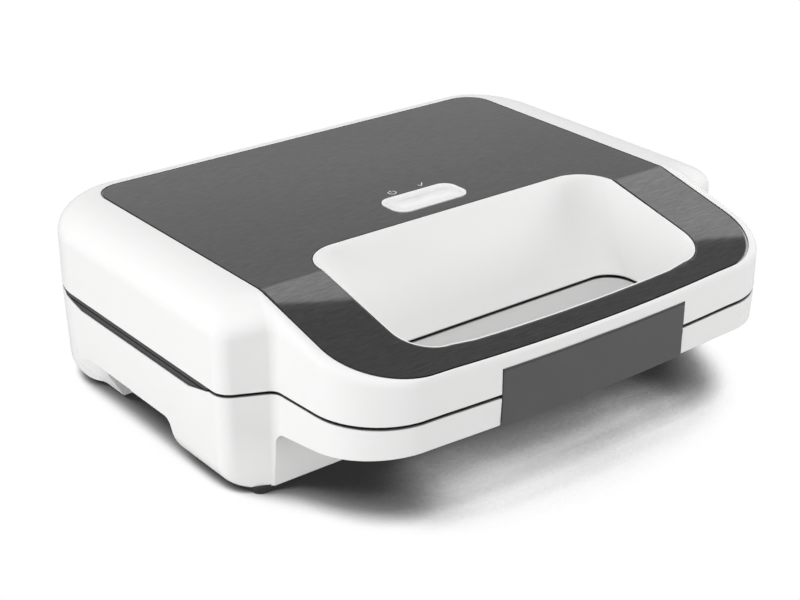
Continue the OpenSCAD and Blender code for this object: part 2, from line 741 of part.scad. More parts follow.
// Saddle strap over a tube along Y whose axis is at z = 0; its feet lie heater_r + heater_fit above
module strap() {
    inner = heater_r + heater_fit;
    translate([0, 4, 0]) rotate([90, 0, 0]) linear_extrude(8) difference() {
        union() {
            circle(r = inner + strap_t);
            translate([-inner - strap_t, 0]) square([2 * (inner + strap_t), inner]);
            translate([-inner - 6, inner - strap_t]) square([2 * inner + 12, strap_t]);
        }
        circle(r = inner);
        translate([-inner, 0]) square([2 * inner, inner + 5]);
        translate([-20, inner]) square([40, 20]);
    }
}
// Four straps under a plate whose pocket floors are at z = 0
module straps() {
    pair() {
        translate([heater_w / 2, strap_y, -heater_r - heater_fit]) strap();
        translate([heater_w / 3, heater_front_y, -heater_r - heater_fit]) rotate([0, 0, 90]) strap();
    }
}
module lower_element_clamps() color(bright_steel) translate([0, 0, lower_bed_z]) straps();
module upper_element_clamps() color(bright_steel) translate([0, 0, upper_bed_z]) mirror([0, 0, 1]) straps();

// Thin tray that throws the heat back, floor at z = 0 and a low rim above it
module reflector_tray() {
    x = heater_w / 2 + tray_side;
    y0 = heater_front_y - tray_front;
    y1 = heater_rear_y + tray_rear;
    difference() {
        linear_extrude(reflector_t + tray_lip) tray_outline(x, y0, y1, 0);
        translate([0, 0, reflector_t]) linear_extrude(5) tray_outline(x, y0, y1, reflector_t);
        for (y = screw_y) translate([0, y, -1]) cylinder(h = 5, r = screw_r + side_gap);
    }
}
// Rounded rectangle over +-x and y0 to y1, drawn in by d
module tray_outline(x, y0, y1, d) {
    translate([0, (y0 + y1) / 2])
        offset(r = 6) square([2 * (x - d) - 12, y1 - y0 - 2 * d - 12], center = true);
}
module lower_heat_reflector() color(bright_steel) translate([0, 0, floor_z]) reflector_tray();
module upper_heat_reflector() color(bright_steel) translate([0, 0, upper_tray_z + reflector_t])
    mirror([0, 0, 1]) reflector_tray();

// Pan-head screw with its head's outer face at z = 0 and its shank along +Z
module pan_screw(l) {
    difference() {
        cylinder(h = screw_head_h, r = screw_head_r);
        translate([0, 0, -0.1]) linear_extrude(0.8)
            for (a = [0, 90]) rotate(a) square([3.4, 0.7], center = true);
    }
    translate([0, 0, screw_head_h]) cylinder(h = l - screw_head_h, r = screw_r);
}
module lower_plate_screws() color(bright_steel) for (y = screw_y)
    translate([0, y, belly_z + screw_sunk - screw_head_h])
        pan_screw(screw_head_h + floor_t - screw_sunk + reflector_t + screw_bite - 1);
module upper_plate_screws() color(bright_steel) for (y = screw_y)
    translate([0, y, body_h - cover_t]) mirror([0, 0, 1])
        pan_screw(body_h - cover_t - upper_tray_z + screw_bite - 1);

// Round thermostat with two tags, its seat at z = 0 and its body below
module disc_thermostat() {
    translate([0, 0, -thermo_h]) cylinder(h = thermo_h, r = thermo_r);
    for (x = [-1, 1]) translate([x * (thermo_r + 1) - 2.5, -2, -thermo_h + 1]) cube([5, 4, 0.8]);
}
module thermostat() color(mica_brown) translate([-sensor_x, sensor_y, lower_bed_z]) disc_thermostat();
module lid_thermostat() color(mica_brown) translate([-sensor_x, sensor_y, upper_bed_z]) mirror([0, 0, 1])
    disc_thermostat();

// Thermal fuse held to the pocket floor by its clip
module thermal_fuse() {
    color(bright_steel) translate([sensor_x, sensor_y, lower_bed_z]) {
        bar_x(-6, 6, 0, -fuse_r, fuse_r);
        bar_x(-12, 12, 0, -fuse_r, 0.5);
        for (s = [-1, 1]) translate([-2, s > 0 ? fuse_r - 0.2 : -fuse_r - 3.8, -0.8]) cube([4, 4, 0.8]);
    }
}

// Terminal block for the mains wires, on the floor of the base
module terminal_block() {
    color([0.9, 0.88, 0.8]) translate([-45, terminal_block_y, floor_z]) difference() {
        translate([-12, -5, 0]) cube([24, 10, 8]);
        for (x = [-8, 0, 8]) translate([x, 0, 3]) cylinder(h = 6, r = 1.8);
    }
}

// Headed steel pin through one hinge
module hinge_pin(s) {
    reach_x = 1.5 * knuckle_w + side_gap;
    color(bright_steel) mirror([s, 0, 0]) {
        bar_x(hinge_span / 2 - reach_x, hinge_span / 2 + reach_x, axis_y, axis_z, hinge_pin_r);
        bar_x(hinge_span / 2 + reach_x, hinge_span / 2 + reach_x + 1, axis_y, axis_z, hinge_pin_r + 1);
    }
}
module hinge_pin_left() hinge_pin(1);
module hinge_pin_right() hinge_pin(0);

// Slanted pad inside the flap that bears on the lower grip half, grown by g and widened by w
module catch_pad(g, w) {
    rotate([90, 0, 90]) linear_extrude(40 + 2 * w, center = true)
        polygon([[nose_y - g, base_z + g], [nose_y + latch_t - latch_proud + g, base_z + g],
                 [nose_y + latch_t - latch_proud + pad_lean + g, latch_foot_z - 5 * g],
                 [nose_y - g, latch_foot_z - 5 * g]]);
}

module latch_clip() {
    color(flap_grey) {
        intersection() {
            bowed_slab(-latch_proud, latch_t - latch_proud, latch_w, latch_foot_z, latch_foot_z + latch_h);
            translate([0, nose_y + 20, latch_foot_z + latch_h / 2]) rotate([90, 0, 0]) linear_extrude(40)
                offset(r = 1.5) square([latch_w - 3, latch_h - 3], center = true);
        }
        catch_pad(0, 0);
        pair() {
            hull() {
                bar_x(latch_w / 2 - cheek_t, latch_w / 2, latch_axis_y, latch_axis_z, 2.6);
                box([latch_w / 2 - cheek_t, latch_axis_y - 4, latch_axis_z - 5],
                    [latch_w / 2, latch_axis_y - 2.5, latch_axis_z + 3]);
            }
            bar_x(latch_w / 2 - 1, latch_w / 2 + latch_axle_l, latch_axis_y, latch_axis_z, latch_axle_r);
        }
    }
}

base_shell();
lower_cooking_plate();
lower_heating_element();
lower_element_clamps();
lower_heat_reflector();
lower_plate_screws();
thermostat();
thermal_fuse();
terminal_block();
cord_gland();
foot_front_left();
foot_front_right();
foot_rear_left();
foot_rear_right();
hinge_pin_left();
hinge_pin_right();
lid_shell();
top_cover();
indicator_lens();
power_lamp();
ready_lamp();
lamp_board();
upper_cooking_plate();
upper_heating_element();
upper_element_clamps();
upper_heat_reflector();
upper_plate_screws();
lid_thermostat();
latch_clip();
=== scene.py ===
import bpy
import bmesh
import math
import numpy as np
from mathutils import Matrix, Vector


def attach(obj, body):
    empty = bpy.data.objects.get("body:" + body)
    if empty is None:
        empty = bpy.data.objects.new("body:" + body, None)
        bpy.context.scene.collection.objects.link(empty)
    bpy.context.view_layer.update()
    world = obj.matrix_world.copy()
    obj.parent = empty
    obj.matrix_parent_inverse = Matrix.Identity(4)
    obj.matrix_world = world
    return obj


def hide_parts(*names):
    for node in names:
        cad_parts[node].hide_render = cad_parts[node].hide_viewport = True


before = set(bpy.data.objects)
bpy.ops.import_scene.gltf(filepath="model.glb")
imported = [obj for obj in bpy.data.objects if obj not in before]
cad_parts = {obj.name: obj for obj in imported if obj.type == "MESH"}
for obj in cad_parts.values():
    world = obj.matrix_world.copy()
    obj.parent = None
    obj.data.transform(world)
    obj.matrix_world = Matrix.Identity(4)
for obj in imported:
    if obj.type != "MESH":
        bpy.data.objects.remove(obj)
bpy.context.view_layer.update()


scene = bpy.context.scene
scene.view_settings.view_transform = "Standard"

# camera, lights, floor and finishes are set in metres, the sizes of all pieces in millimetres
mm = 0.001

viewpoint = {"place": (-0.4188, -0.52175, 0.3398), "turn": 38.005, "tilt": 24.951, "lens": 77.1, "film": 36}


def lookDirection(turn, tilt):
    a, b = math.radians(turn), math.radians(tilt)
    return Vector((math.sin(a) * math.cos(b), math.cos(a) * math.cos(b), -math.sin(b)))


def addCamera(s):
    data = bpy.data.cameras.new("viewpoint")
    data.lens = s["lens"]
    data.sensor_width = s["film"]
    camera = bpy.data.objects.new("viewpoint", data)
    scene.collection.objects.link(camera)
    camera.location = s["place"]
    camera.rotation_euler = lookDirection(s["turn"], s["tilt"]).to_track_quat("-Z", "Y").to_euler()
    scene.camera = camera


addCamera(viewpoint)


def grey(level):
    return level, level, level, 1


class Value:
    # a socket that works in Python's sums
    def __init__(self, finish, socket):
        self.finish, self.socket = finish, socket

    def maths(self, operation, other):
        return self.finish.node("ShaderNodeMath", {"operation": operation}, {0: self, 1: other})

    def __add__(self, other):
        return self.maths("ADD", other)

    def __mul__(self, other):
        return self.maths("MULTIPLY", other)

    __radd__ = __add__
    __rmul__ = __mul__


class Finish:
    def __init__(self, name, world=False):
        self.block = bpy.data.worlds.new(name) if world else bpy.data.materials.new(name)
        self.block.use_nodes = True
        self.tree = self.block.node_tree
        self.tree.nodes.clear()
        self.world = world

    def node(self, kind, settings, inputs, out=0):
        made = self.tree.nodes.new(kind)
        for key, value in settings.items():
            if key == "stops":
                self.setStops(made.color_ramp, value)
            else:
                setattr(made, key, value)
        for key, value in inputs.items():
            if isinstance(value, Value):
                self.tree.links.new(value.socket, made.inputs[key])
            else:
                made.inputs[key].default_value = value
        return Value(self, made.outputs[out])

    def setStops(self, ramp, stops):
        while len(ramp.elements) < len(stops):
            ramp.elements.new(0.5)
        for element, (place, colour) in zip(ramp.elements, stops):
            element.position = place
            element.color = (*colour, 1) if isinstance(colour, tuple) else grey(colour)

    def place(self, scale=(1, 1, 1)):
        here = self.node("ShaderNodeTexCoord", {}, {}, "Object")
        return self.node("ShaderNodeMapping", {}, {"Vector": here, "Scale": scale})

    def noise(self, where, scale, detail=2.0, rough=0.5):
        sockets = {"Vector": where, "Scale": scale, "Detail": detail, "Roughness": rough}
        return self.node("ShaderNodeTexNoise", {}, sockets, "Fac")

    def ramp(self, value, stops):
        return self.node("ShaderNodeValToRGB", {"stops": stops}, {"Fac": value})

    def tint(self, fac, first, second):
        return self.node("ShaderNodeMix", {"data_type": "RGBA"}, {0: fac, 6: first, 7: second}, 2)

    def openness(self, samples, sockets):
        return self.node("ShaderNodeAmbientOcclusion", {"samples": samples}, sockets, "AO")

    def paintedGapShade(self, reach, low, high):
        # painted shade from ambient occlusion: 0 deep in a gap, 1 on an open surface
        return self.ramp(self.openness(8, {"Distance": reach}), [(low, 0.0), (high, 1.0)])

    def softEdge(self, radius):
        return self.node("ShaderNodeBevel", {"samples": 6}, {"Radius": radius})

    def bump(self, height, strength, distance, normal):
        sockets = {"Height": height, "Strength": strength, "Distance": distance, "Normal": normal}
        return self.node("ShaderNodeBump", {}, sockets)

    def surface(self, **sockets):
        names = {key.replace("_", " "): value for key, value in sockets.items()}
        return self.node("ShaderNodeBsdfPrincipled", {}, names)

    def ray(self, kind):
        return self.node("ShaderNodeLightPath", {}, {}, kind)

    def glow(self, colour, strength):
        return self.node("ShaderNodeBackground", {}, {"Color": colour, "Strength": strength})

    def blend(self, fac, first, second):
        return self.node("ShaderNodeMixShader", {}, {0: fac, 1: first, 2: second})

    def done(self, shader):
        kind = "ShaderNodeOutputWorld" if self.world else "ShaderNodeOutputMaterial"
        end = self.tree.nodes.new(kind)
        self.tree.links.new(shader.socket, end.inputs["Surface"])
        return self.block


studio = {"ambient": 0.8, "sky": [(0.0, 0.25), (0.5, 0.75), (1.0, 1.0)],
          "cardEdge": (0.1329, 0.7822, -0.6087),             # normal of the light card's upper edge
          "card": [(0.0, 0.97), (0.56, 0.97), (0.68, 0.43), (1.0, 1.0)], "ceiling": 0.29, "crisp": 700}


def studioWorld(s):
    # the camera sees white, the steel sees a light card below a grey ceiling, the rest a plain sky
    f = Finish("studio", world=True)
    way = f.node("ShaderNodeTexCoord", {}, {}, "Generated")
    side = f.node("ShaderNodeVectorMath", {"operation": "DOT_PRODUCT"}, {0: way, 1: s["cardEdge"]}, "Value")
    card = f.ramp(side * 0.5 + 0.5, s["card"])
    mirrored = f.tint(side * s["crisp"] + 0.5, grey(s["ceiling"]), card)
    up = f.node("ShaderNodeSeparateXYZ", {}, {"Vector": way}, "Z")
    plain = f.glow(f.ramp(up, s["sky"]), s["ambient"])
    lit = f.blend(f.ray("Is Glossy Ray"), plain, f.glow(mirrored, 1.0))
    direct = f.ray("Is Camera Ray").maths("MAXIMUM", f.ray("Is Transmission Ray"))
    scene.world = f.done(f.blend(direct, lit, f.glow(grey(1), 1.0)))


studioWorld(studio)

panelAim = (0, 0, 0.03)
panels = {"topPanel": {"place": (0.1, 0.15, 1.3), "size": (1.1, 1.1), "power": 6.3},
          "rightPanel": {"place": (0.85, -1.05, 0.2), "size": (0.7, 0.3), "power": 6.5},
          "leftPanel": {"place": (-1.35, -0.15, 0.18), "size": (0.8, 0.3), "power": 9.3}}


def addPanel(name, s):
    data = bpy.data.lights.new(name, "AREA")
    data.shape = "RECTANGLE"
    data.size, data.size_y = s["size"]
    data.energy = s["power"]
    panel = bpy.data.objects.new(name, data)
    scene.collection.objects.link(panel)
    panel.location = s["place"]
    panel.rotation_euler = (Vector(panelAim) - Vector(s["place"])).to_track_quat("-Z", "Y").to_euler()
    panel.visible_glossy = False


for name, setting in panels.items():
    addPanel(name, setting)

# the floor's colour seen by the camera is a painted shadow: a ramp over how open it is above, not the lamps'
# light
floorSheet = {"half": 3.0, "bounce": 0.6, "contact": 0.12, "leans": (-0.6, 0.8), "samples": 32,
              "shade": [(0.1, 0.02), (0.48, 0.03), (0.62, 0.2), (0.7, 0.6), (0.76, 1.0)]}


def addFloor(s):
    h = s["half"]
    mesh = bpy.data.meshes.new("floor")
    mesh.from_pydata([(-h, -h, 0), (h, -h, 0), (h, h, 0), (-h, h, 0)], [], [(0, 1, 2, 3)])
    floor = bpy.data.objects.new("floor", mesh)
    scene.collection.objects.link(floor)
    f = Finish("paleFloor")
    seen = []                                    # how open it is above, leaning to the left and to the right
    for lean in s["leans"]:
        way = f.node("ShaderNodeCombineXYZ", {}, {0: lean, 2: 1 - abs(lean) / 3})
        seen.append(f.openness(s["samples"], {"Distance": s["contact"], "Normal": way}))
    # painted shadow: the floor the camera sees glows darker where little is open above it
    shade = f.ramp(seen[0].maths("MAXIMUM", seen[1]), s["shade"])
    paintedShadow = f.node("ShaderNodeEmission", {}, {"Color": shade, "Strength": 1.0})
    dull = f.node("ShaderNodeBsdfDiffuse", {}, {"Color": grey(s["bounce"])})
    mesh.materials.append(f.done(f.blend(f.ray("Is Camera Ray"), dull, paintedShadow)))


addFloor(floorSheet)
print("camera, light and floor set")


def whiteMoulding():
    f = Finish("whiteMoulding")
    p = f.place()
    cloud = f.noise(p, 9, 2)
    colour = f.tint(cloud, (0.835, 0.835, 0.83, 1), (0.85, 0.85, 0.846, 1))
    # painted shade: the white goes nearly black in the parting gap and other narrow gaps
    colour = f.tint(f.paintedGapShade(0.003, 0.36, 0.68), grey(0.03), colour)
    rough = f.noise(p, 260, 3) * 0.05 + 0.23
    peel = f.noise(p, 900, 2) * 0.6 + f.noise(p, 3200, 2) * 0.4
    return f.done(f.surface(Base_Color=colour, Roughness=rough, IOR=1.46,
                            Normal=f.bump(peel, 0.012, 0.0002, f.softEdge(0.0005))))


def brushedCover():
    f = Finish("brushedCover")
    fine = f.noise(f.place((220, 2600, 300)), 1, 4, 0.7)
    streak = f.noise(f.place((130, 1000, 130)), 1, 3, 0.6)
    broad = f.noise(f.place((8, 26, 8)), 1, 2)
    shade = fine * 0.5 + streak * 0.35 + broad * 0.15
    colour = f.ramp(shade, [(0.38, (0.15, 0.15, 0.152)), (0.5, (0.187, 0.187, 0.189)),
                            (0.62, (0.232, 0.232, 0.234))])
    # painted shade: the steel goes nearly black in the narrow gaps at its edges
    colour = f.tint(f.paintedGapShade(0.0012, 0.2, 0.55), grey(0.02), colour)
    rough = streak * 0.012 + 0.02
    return f.done(f.surface(Base_Color=colour, Metallic=1.0, Roughness=rough,
                            Normal=f.bump(streak, 0.002, 0.0001, f.softEdge(0.0003))))


def greyFlap():
    f = Finish("greyFlap")
    p = f.place()
    grain = f.noise(p, 1900, 3, 0.6)
    cloud = f.noise(p, 60, 2)
    colour = f.tint(cloud * 0.4 + grain * 0.6, (0.078, 0.078, 0.08, 1), (0.1, 0.1, 0.102, 1))
    return f.done(f.surface(Base_Color=colour, Roughness=grain * 0.15 + 0.48,
                            Normal=f.bump(grain, 0.2, 0.0002, f.softEdge(0.0003))))


def coatedPlate():
    f = Finish("coatedPlate")
    grain = f.noise(f.place(), 1300, 4, 0.65)
    colour = f.tint(grain, (0.024, 0.024, 0.025, 1), (0.045, 0.045, 0.046, 1))
    return f.done(f.surface(Base_Color=colour, Roughness=grain * 0.2 + 0.32,
                            Normal=f.bump(grain, 0.2, 0.0002, f.softEdge(0.0003))))


def rubberFoot():
    f = Finish("rubberFoot")
    grain = f.noise(f.place(), 900, 3)
    colour = f.tint(grain, grey(0.022), grey(0.04))
    return f.done(f.surface(Base_Color=colour, Roughness=grain * 0.15 + 0.6,
                            Normal=f.bump(grain, 0.2, 0.0003, f.softEdge(0.0003))))


def brightSteel():
    f = Finish("brightSteel")
    grain = f.noise(f.place((80, 900, 900)), 1, 3)
    colour = f.tint(grain, (0.5, 0.5, 0.51, 1), (0.66, 0.66, 0.67, 1))
    return f.done(f.surface(Base_Color=colour, Metallic=1.0, Roughness=grain * 0.15 + 0.25,
                            Normal=f.bump(grain, 0.1, 0.0001, f.softEdge(0.0003))))


def milkyLens():
    f = Finish("milkyLens")
    grain = f.noise(f.place(), 300, 2)
    colour = f.tint(grain, grey(0.82), grey(0.88))
    # painted shade: the lens goes darker in its narrow grooves and at the gap around it
    colour = f.tint(f.paintedGapShade(0.0014, 0.3, 0.8), grey(0.4), colour)
    return f.done(f.surface(Base_Color=colour, Roughness=grain * 0.05 + 0.14, IOR=1.49,
                            Normal=f.bump(grain, 0.02, 0.0001, f.softEdge(0.0002))))


def mouldedPlain(name, colour):
    f = Finish(name)
    grain = f.noise(f.place(), 800, 3)
    dark = tuple(c * 0.88 for c in colour)
    return f.done(f.surface(Base_Color=f.tint(grain, (*dark, 1), (*colour, 1)), Roughness=grain * 0.1 + 0.4,
                            Normal=f.bump(grain, 0.1, 0.0001, f.softEdge(0.0002))))


finishes = {"white": whiteMoulding(), "cover": brushedCover(), "flap": greyFlap(), "plate": coatedPlate(),
            "rubber": rubberFoot(), "steel": brightSteel(), "lens": milkyLens(),
            "mica": mouldedPlain("mica", (0.38, 0.27, 0.16)),
            "ivory": mouldedPlain("ivory", (0.8, 0.76, 0.66)),
            "print": mouldedPlain("whitePrint", (0.8, 0.8, 0.8)),
            "red": mouldedPlain("redLamp", (0.7, 0.12, 0.06)),
            "green": mouldedPlain("greenLamp", (0.1, 0.55, 0.2))}
print("finishes made")

leastReach = 3                                   # of a round corner, along its two lines


def unit(v):
    return v / np.linalg.norm(v)


def arc(start, corner, end, reach, steps):
    # round stretch that touches both lines at the given reach from the corner
    start, corner, end = (np.array(t, float) for t in (start, corner, end))
    a, b = corner + reach * unit(start - corner), corner + reach * unit(end - corner)
    w = math.sqrt((1 + unit(corner - start) @ unit(end - corner)) / 2)
    made = []
    for i in range(steps + 1):
        t = i / steps
        m = 2 * w * t * (1 - t)
        made.append(((1 - t) ** 2 * a + m * corner + t * t * b) / ((1 - t) ** 2 + m + t * t))
    return made


def roundCorner(start, corner, end, r, steps):
    start, corner, end = (np.array(t, float) for t in (start, corner, end))
    c = (corner - start) @ (end - corner) / np.linalg.norm(corner - start) / np.linalg.norm(end - corner)
    return arc(start, corner, end, max(r * math.sqrt((1 - c) / (1 + c)), leastReach), steps)


def circle(centre, r, n=48):
    turns = np.arange(n) * 2 * math.pi / n
    return np.array(centre) + r * np.column_stack((np.cos(turns), np.sin(turns)))


def both(half):
    half = np.array(half)
    left = half[::-1] * np.array((-1, 1))
    return np.concatenate((half, left))


def lozenge(w, d, r, steps):
    half = arc((0, d), (w, d), (w, -d), r, steps) + arc((w, d), (w, -d), (0, -d), r, steps)
    return both(half)


body = {"halfW": 130, "backY": 101.25, "rearR": 33, "neckX": 111, "neckY": -53.75, "cheekR": 8,
        "cheekDrop": 9, "noseY": -108.85, "gripHalf": 109, "noseR": 30, "bow": 6.1 / 109 ** 2}
heights = {"top": 76.5, "lid": 43.1, "base": 41.9}
shoulder = {"drop": 11.5, "w": 24.1, "power": 0.7, "rim": 1.2}
sole = {"z": 2.4, "inset": 9.5, "draft": 0.8, "back": 5, "cheek": 4.4, "neck": 1.4, "grip": 2, "nose": 3}
cover = {"halfW": 104.9, "backY": 91.35, "rearR": 12, "bendY": -36.75, "cheekDrop": 9, "frontY": -106.85,
         "slope": 13.6, "thick": 0.8, "soft": 1.6, "gap": 0.75, "lip": 0.9, "upperSide": 0.45, "side": 2}
well = {"halfW": 75.8, "backY": -19.25, "frontY": -96.15, "backR": 16, "frontR": 15, "bulge": 0.3,
        "slotHalf": 63, "slotBackY": -51.65, "slotFrontY": -94.15, "slotR": 11,
        "lowHalf": 61, "lowBackY": -57.75, "lowZ": 28, "cutZ": 20}


def bowAt(x):
    return body["bow"] * x * x


def bodyHalf(halfW, backY, rearR, cheekY, neckX, neckY, gripHalf, noseY):
    # right half of an outline, from the middle of the rear edge to the middle of the nose
    nose = (gripHalf, noseY + bowAt(gripHalf))
    ahead = (nose[0] - 1, nose[1] - 2 * body["bow"] * gripHalf)
    rear = roundCorner((0, backY), (halfW, backY), (halfW, cheekY), rearR, 18)
    cheek = roundCorner((halfW, backY), (halfW, cheekY), (neckX, neckY), body["cheekR"], 12)
    neck = roundCorner((halfW, cheekY), (neckX, neckY), nose, leastReach, 8)
    turn = roundCorner((neckX, neckY), nose, ahead, body["noseR"], 18)
    inward = [turn[-1][0] * (1 - i / 8) for i in range(1, 8)]
    return rear + cheek + neck + turn + [np.array((x, noseY + bowAt(x))) for x in inward]


def partingLine(d):
    return both(bodyHalf(body["halfW"] - d, body["backY"] - d, body["rearR"],
                         body["neckY"] + body["cheekDrop"] + 0.2 * d, body["neckX"], body["neckY"] + d,
                         body["gripHalf"] - d, body["noseY"] + 2 * d))


def coverLine(g):
    w = cover["halfW"] + g
    return both(bodyHalf(w, cover["backY"] + g, cover["rearR"] + g, cover["bendY"] + cover["cheekDrop"], w,
                         cover["bendY"], w, cover["frontY"] - g))


def soleLine():
    return both(bodyHalf(body["halfW"] - sole["inset"], body["backY"] - sole["back"],
                         body["rearR"] - sole["back"], body["neckY"] + sole["cheek"], body["neckX"],
                         body["neckY"] + sole["neck"], body["gripHalf"] - sole["grip"],
                         body["noseY"] + sole["nose"]))


def openingLine(w, backY, frontY, backR, frontR):
    front = (w, frontY + bowAt(w))
    half = arc((0, backY), (w, backY), front, backR, 14) + arc((w, backY), front, (0, front[1]), frontR, 14)
    inward = [(w - frontR) * (1 - i / 6) for i in range(1, 6)]
    return both(half + [np.array((x, frontY + bowAt(x))) for x in inward])


def wellLine(g):
    return openingLine(well["halfW"] + g, well["backY"] + g, well["frontY"] - g, well["backR"] + g,
                       well["frontR"] + g)


def slotLine(g):
    return openingLine(well["slotHalf"] + g, well["slotBackY"] + g, well["slotFrontY"] - g, well["slotR"] + g,
                       well["slotR"] + g)


def topAt(y):
    # height of the lid's top, level at the rear and sloping down in front of the sheet's bend
    y = np.asarray(y, float)
    slope = math.tan(math.radians(cover["slope"]))
    soft = cover["soft"]                         # half length of the rolled bend
    t = np.clip((cover["bendY"] + soft - y) / (2 * soft), 0, 1)
    return heights["top"] - slope * (soft * t * t + np.maximum(cover["bendY"] - soft - y, 0))


def lift(points, z):
    z = np.broadcast_to(np.asarray(z, float), (len(points),))
    return np.column_stack((points, z))


def onTop(points, down):
    return lift(points, topAt(points[:, 1]) - down)


class Skin:
    def __init__(self):
        self.work = bmesh.new()

    def ring(self, points):
        return [self.work.verts.new(p * mm) for p in points]

    def bands(self, rings):
        made = [self.ring(r) if isinstance(r, np.ndarray) else r for r in rings]
        for a, b in zip(made, made[1:]):
            n = len(a)
            for i in range(n):
                j = (i + 1) % n
                self.work.faces.new((a[i], a[j], b[j], b[i]))
        return made[0], made[-1]

    def fill(self, *loops):
        edges = []
        for loop in loops:
            for i, v in enumerate(loop):
                w = loop[(i + 1) % len(loop)]
                edges.append(self.work.edges.get((v, w)) or self.work.edges.new((v, w)))
        bmesh.ops.triangle_fill(self.work, use_beauty=True, edges=edges)

    def piece(self, name, finish=None, angle=35):
        bmesh.ops.remove_doubles(self.work, verts=self.work.verts, dist=1e-7)
        bmesh.ops.recalc_face_normals(self.work, faces=self.work.faces)
        loose = [e for e in self.work.edges if not e.is_manifold]
        if loose:
            print("  ", name, "open edges", len(loose))
        mesh = bpy.data.meshes.new(name)
        self.work.to_mesh(mesh)
        self.work.free()
        made = bpy.data.objects.new(name, mesh)
        scene.collection.objects.link(made)
        if finish:
            mesh.materials.append(finish)
            smooth(made, angle)
        return made


def smooth(made, angle):
    made.data.shade_smooth()
    made.data.set_sharp_from_angle(angle=math.radians(angle))


def settle(made):
    # turns the modifiers' result into a plain mesh
    deps = bpy.context.evaluated_depsgraph_get()
    mesh = bpy.data.meshes.new_from_object(made.evaluated_get(deps))
    made.modifiers.clear()
    made.data = mesh
    return made


def solid(rings, name="tool"):
    s = Skin()
    low, high = s.bands(rings)
    s.fill(low)
    s.fill(high)
    return s.piece(name)


def across(points, axis, places):
    # rings of one outline at places along an axis
    return [np.insert(np.array(points, float), axis, v, axis=1) for v in places]


def extruded(points, axis, a, b):
    return solid(across(points, axis, (a, b)))


def carve(made, operation, tools):
    for tool in tools:
        m = made.modifiers.new("carve", "BOOLEAN")
        m.operation = operation
        m.solver = "EXACT"
        m.object = tool
        settle(made)
        bpy.data.objects.remove(tool)
    return made


def crossLines(work, axis, places):
    # new edges through a mesh, where its wide faces are to be bent
    for v in places:
        point, normal = [0, 0, 0], [0, 0, 0]
        point[axis], normal[axis] = v * mm, 1
        bmesh.ops.bisect_plane(work, geom=work.verts[:] + work.edges[:] + work.faces[:], dist=1e-7,
                               plane_co=point, plane_no=normal)


def finished(made, name, finish, angle):
    work = bmesh.new()
    work.from_mesh(made.data)
    bmesh.ops.remove_doubles(work, verts=work.verts, dist=2e-6)
    bmesh.ops.dissolve_degenerate(work, edges=work.edges, dist=2e-6)
    work.to_mesh(made.data)
    work.free()
    made.name = made.data.name = name
    made.data.materials.clear()
    made.data.materials.append(finish)
    smooth(made, angle)
    m = made.modifiers.new("weighted", "WEIGHTED_NORMAL")
    m.keep_sharp = True
    m.weight = 80
    return settle(made)


def bowed(d0, d1, w, z0, z1):
    # slab behind the grip's bowed front, from depth d0 to d1
    xs = np.linspace(-w / 2, w / 2, 25)
    near = np.column_stack((xs, body["noseY"] + d0 + bowAt(xs)))
    far = np.column_stack((xs, body["noseY"] + d1 + bowAt(xs)))[::-1]
    return extruded(np.concatenate((near, far)), 2, z0, z1)


hinge = {"span": 72, "knuckleW": 9, "r": 4.5, "gap": 0.4, "y": 106.25, "z": 42.5, "wallY": 99.75,
         "reach": 4.5, "bore": 2.05, "boreHalf": 100, "lip": 0.6, "endTurn": 187.66}


def knuckle(x, upward):
    # round eye with a web into the wall, turned over for the lid
    turns = np.radians(np.linspace(-90, hinge["endTurn"], 40))
    eye = np.column_stack((np.cos(turns), np.sin(turns))) * hinge["r"]
    wall = hinge["wallY"] - hinge["y"]
    web = [(wall, -hinge["lip"]), (wall, -hinge["reach"])]
    points = np.concatenate((eye, web)) * (1, -1 if upward else 1) + (hinge["y"], hinge["z"])
    return extruded(points, 0, x - hinge["knuckleW"] / 2, x + hinge["knuckleW"] / 2)


def hingeBore():
    return extruded(circle((hinge["y"], hinge["z"]), hinge["bore"], 32), 0, -hinge["boreHalf"],
                    hinge["boreHalf"])


plate = {"w": 127, "back": 92, "front": -44.5, "rearR": 28, "frontR": 12, "fit": 0.5, "ledge": 5,
         "lowZ": 40.6, "highZ": 41.1, "rim": 3, "depth": 11, "wall": 2.5, "taper": 0.6, "border": 8,
         "ridge": 8, "cornerR": 8, "mouthR": 1.0, "bedR": 2.2, "shoulderR": 1.0, "capR": 2.0}


def plateLine(g):
    w, b, f = plate["w"] + g, plate["back"] + g, plate["front"] - g
    return both(arc((0, b), (w, b), (w, f), plate["rearR"] + g, 14)
                + arc((w, b), (w, f), (0, f), plate["frontR"] + g, 10))


lens = {"halfW": 19.1, "halfD": 8.5, "r": 6, "y": -2.3, "gap": 0.25, "low": 73.2, "rimTop": 77.0,
        "floor": 76.42, "island": 76.8, "eyeX": 8, "eye": (5.6, 2.5), "dome": 0.2}


def lensLine(g):
    return lozenge(lens["halfW"] + g, lens["halfD"] + g, lens["r"] + g, 10) + np.array((0, lens["y"]))


latch = {"w": 94.6, "low": 30.1, "h": 22.9, "proud": 0.4, "thick": 1.5, "corner": 1.5, "leastCorner": 0.6,
         "bed": 1.5, "side": 0.4, "padW": 40, "padLean": 0.6, "padGap": 0.4,
         "axisY": -104.85, "axisZ": 51.5, "roof": 2.3, "axle": 1.2, "play": 0.05, "stub": 3, "chamfer": 0.3,
         "cheek": 3, "cheekR": 2.6, "cheekLow": 4, "cheekBack": 1.5, "cheekTop": 1.2, "cheekIn": 0.4,
         "lipSide": 0.3, "lipGap": 0.22, "lipIn": 0.1, "cutAhead": 5, "cutBelow": 5, "cutLow": 42}


def latchReach(x):
    # radius about the flap's axis that meets the grip's front face at the roof of the recess
    return math.hypot(latch["axisY"] - body["noseY"] - bowAt(x), latch["roof"])


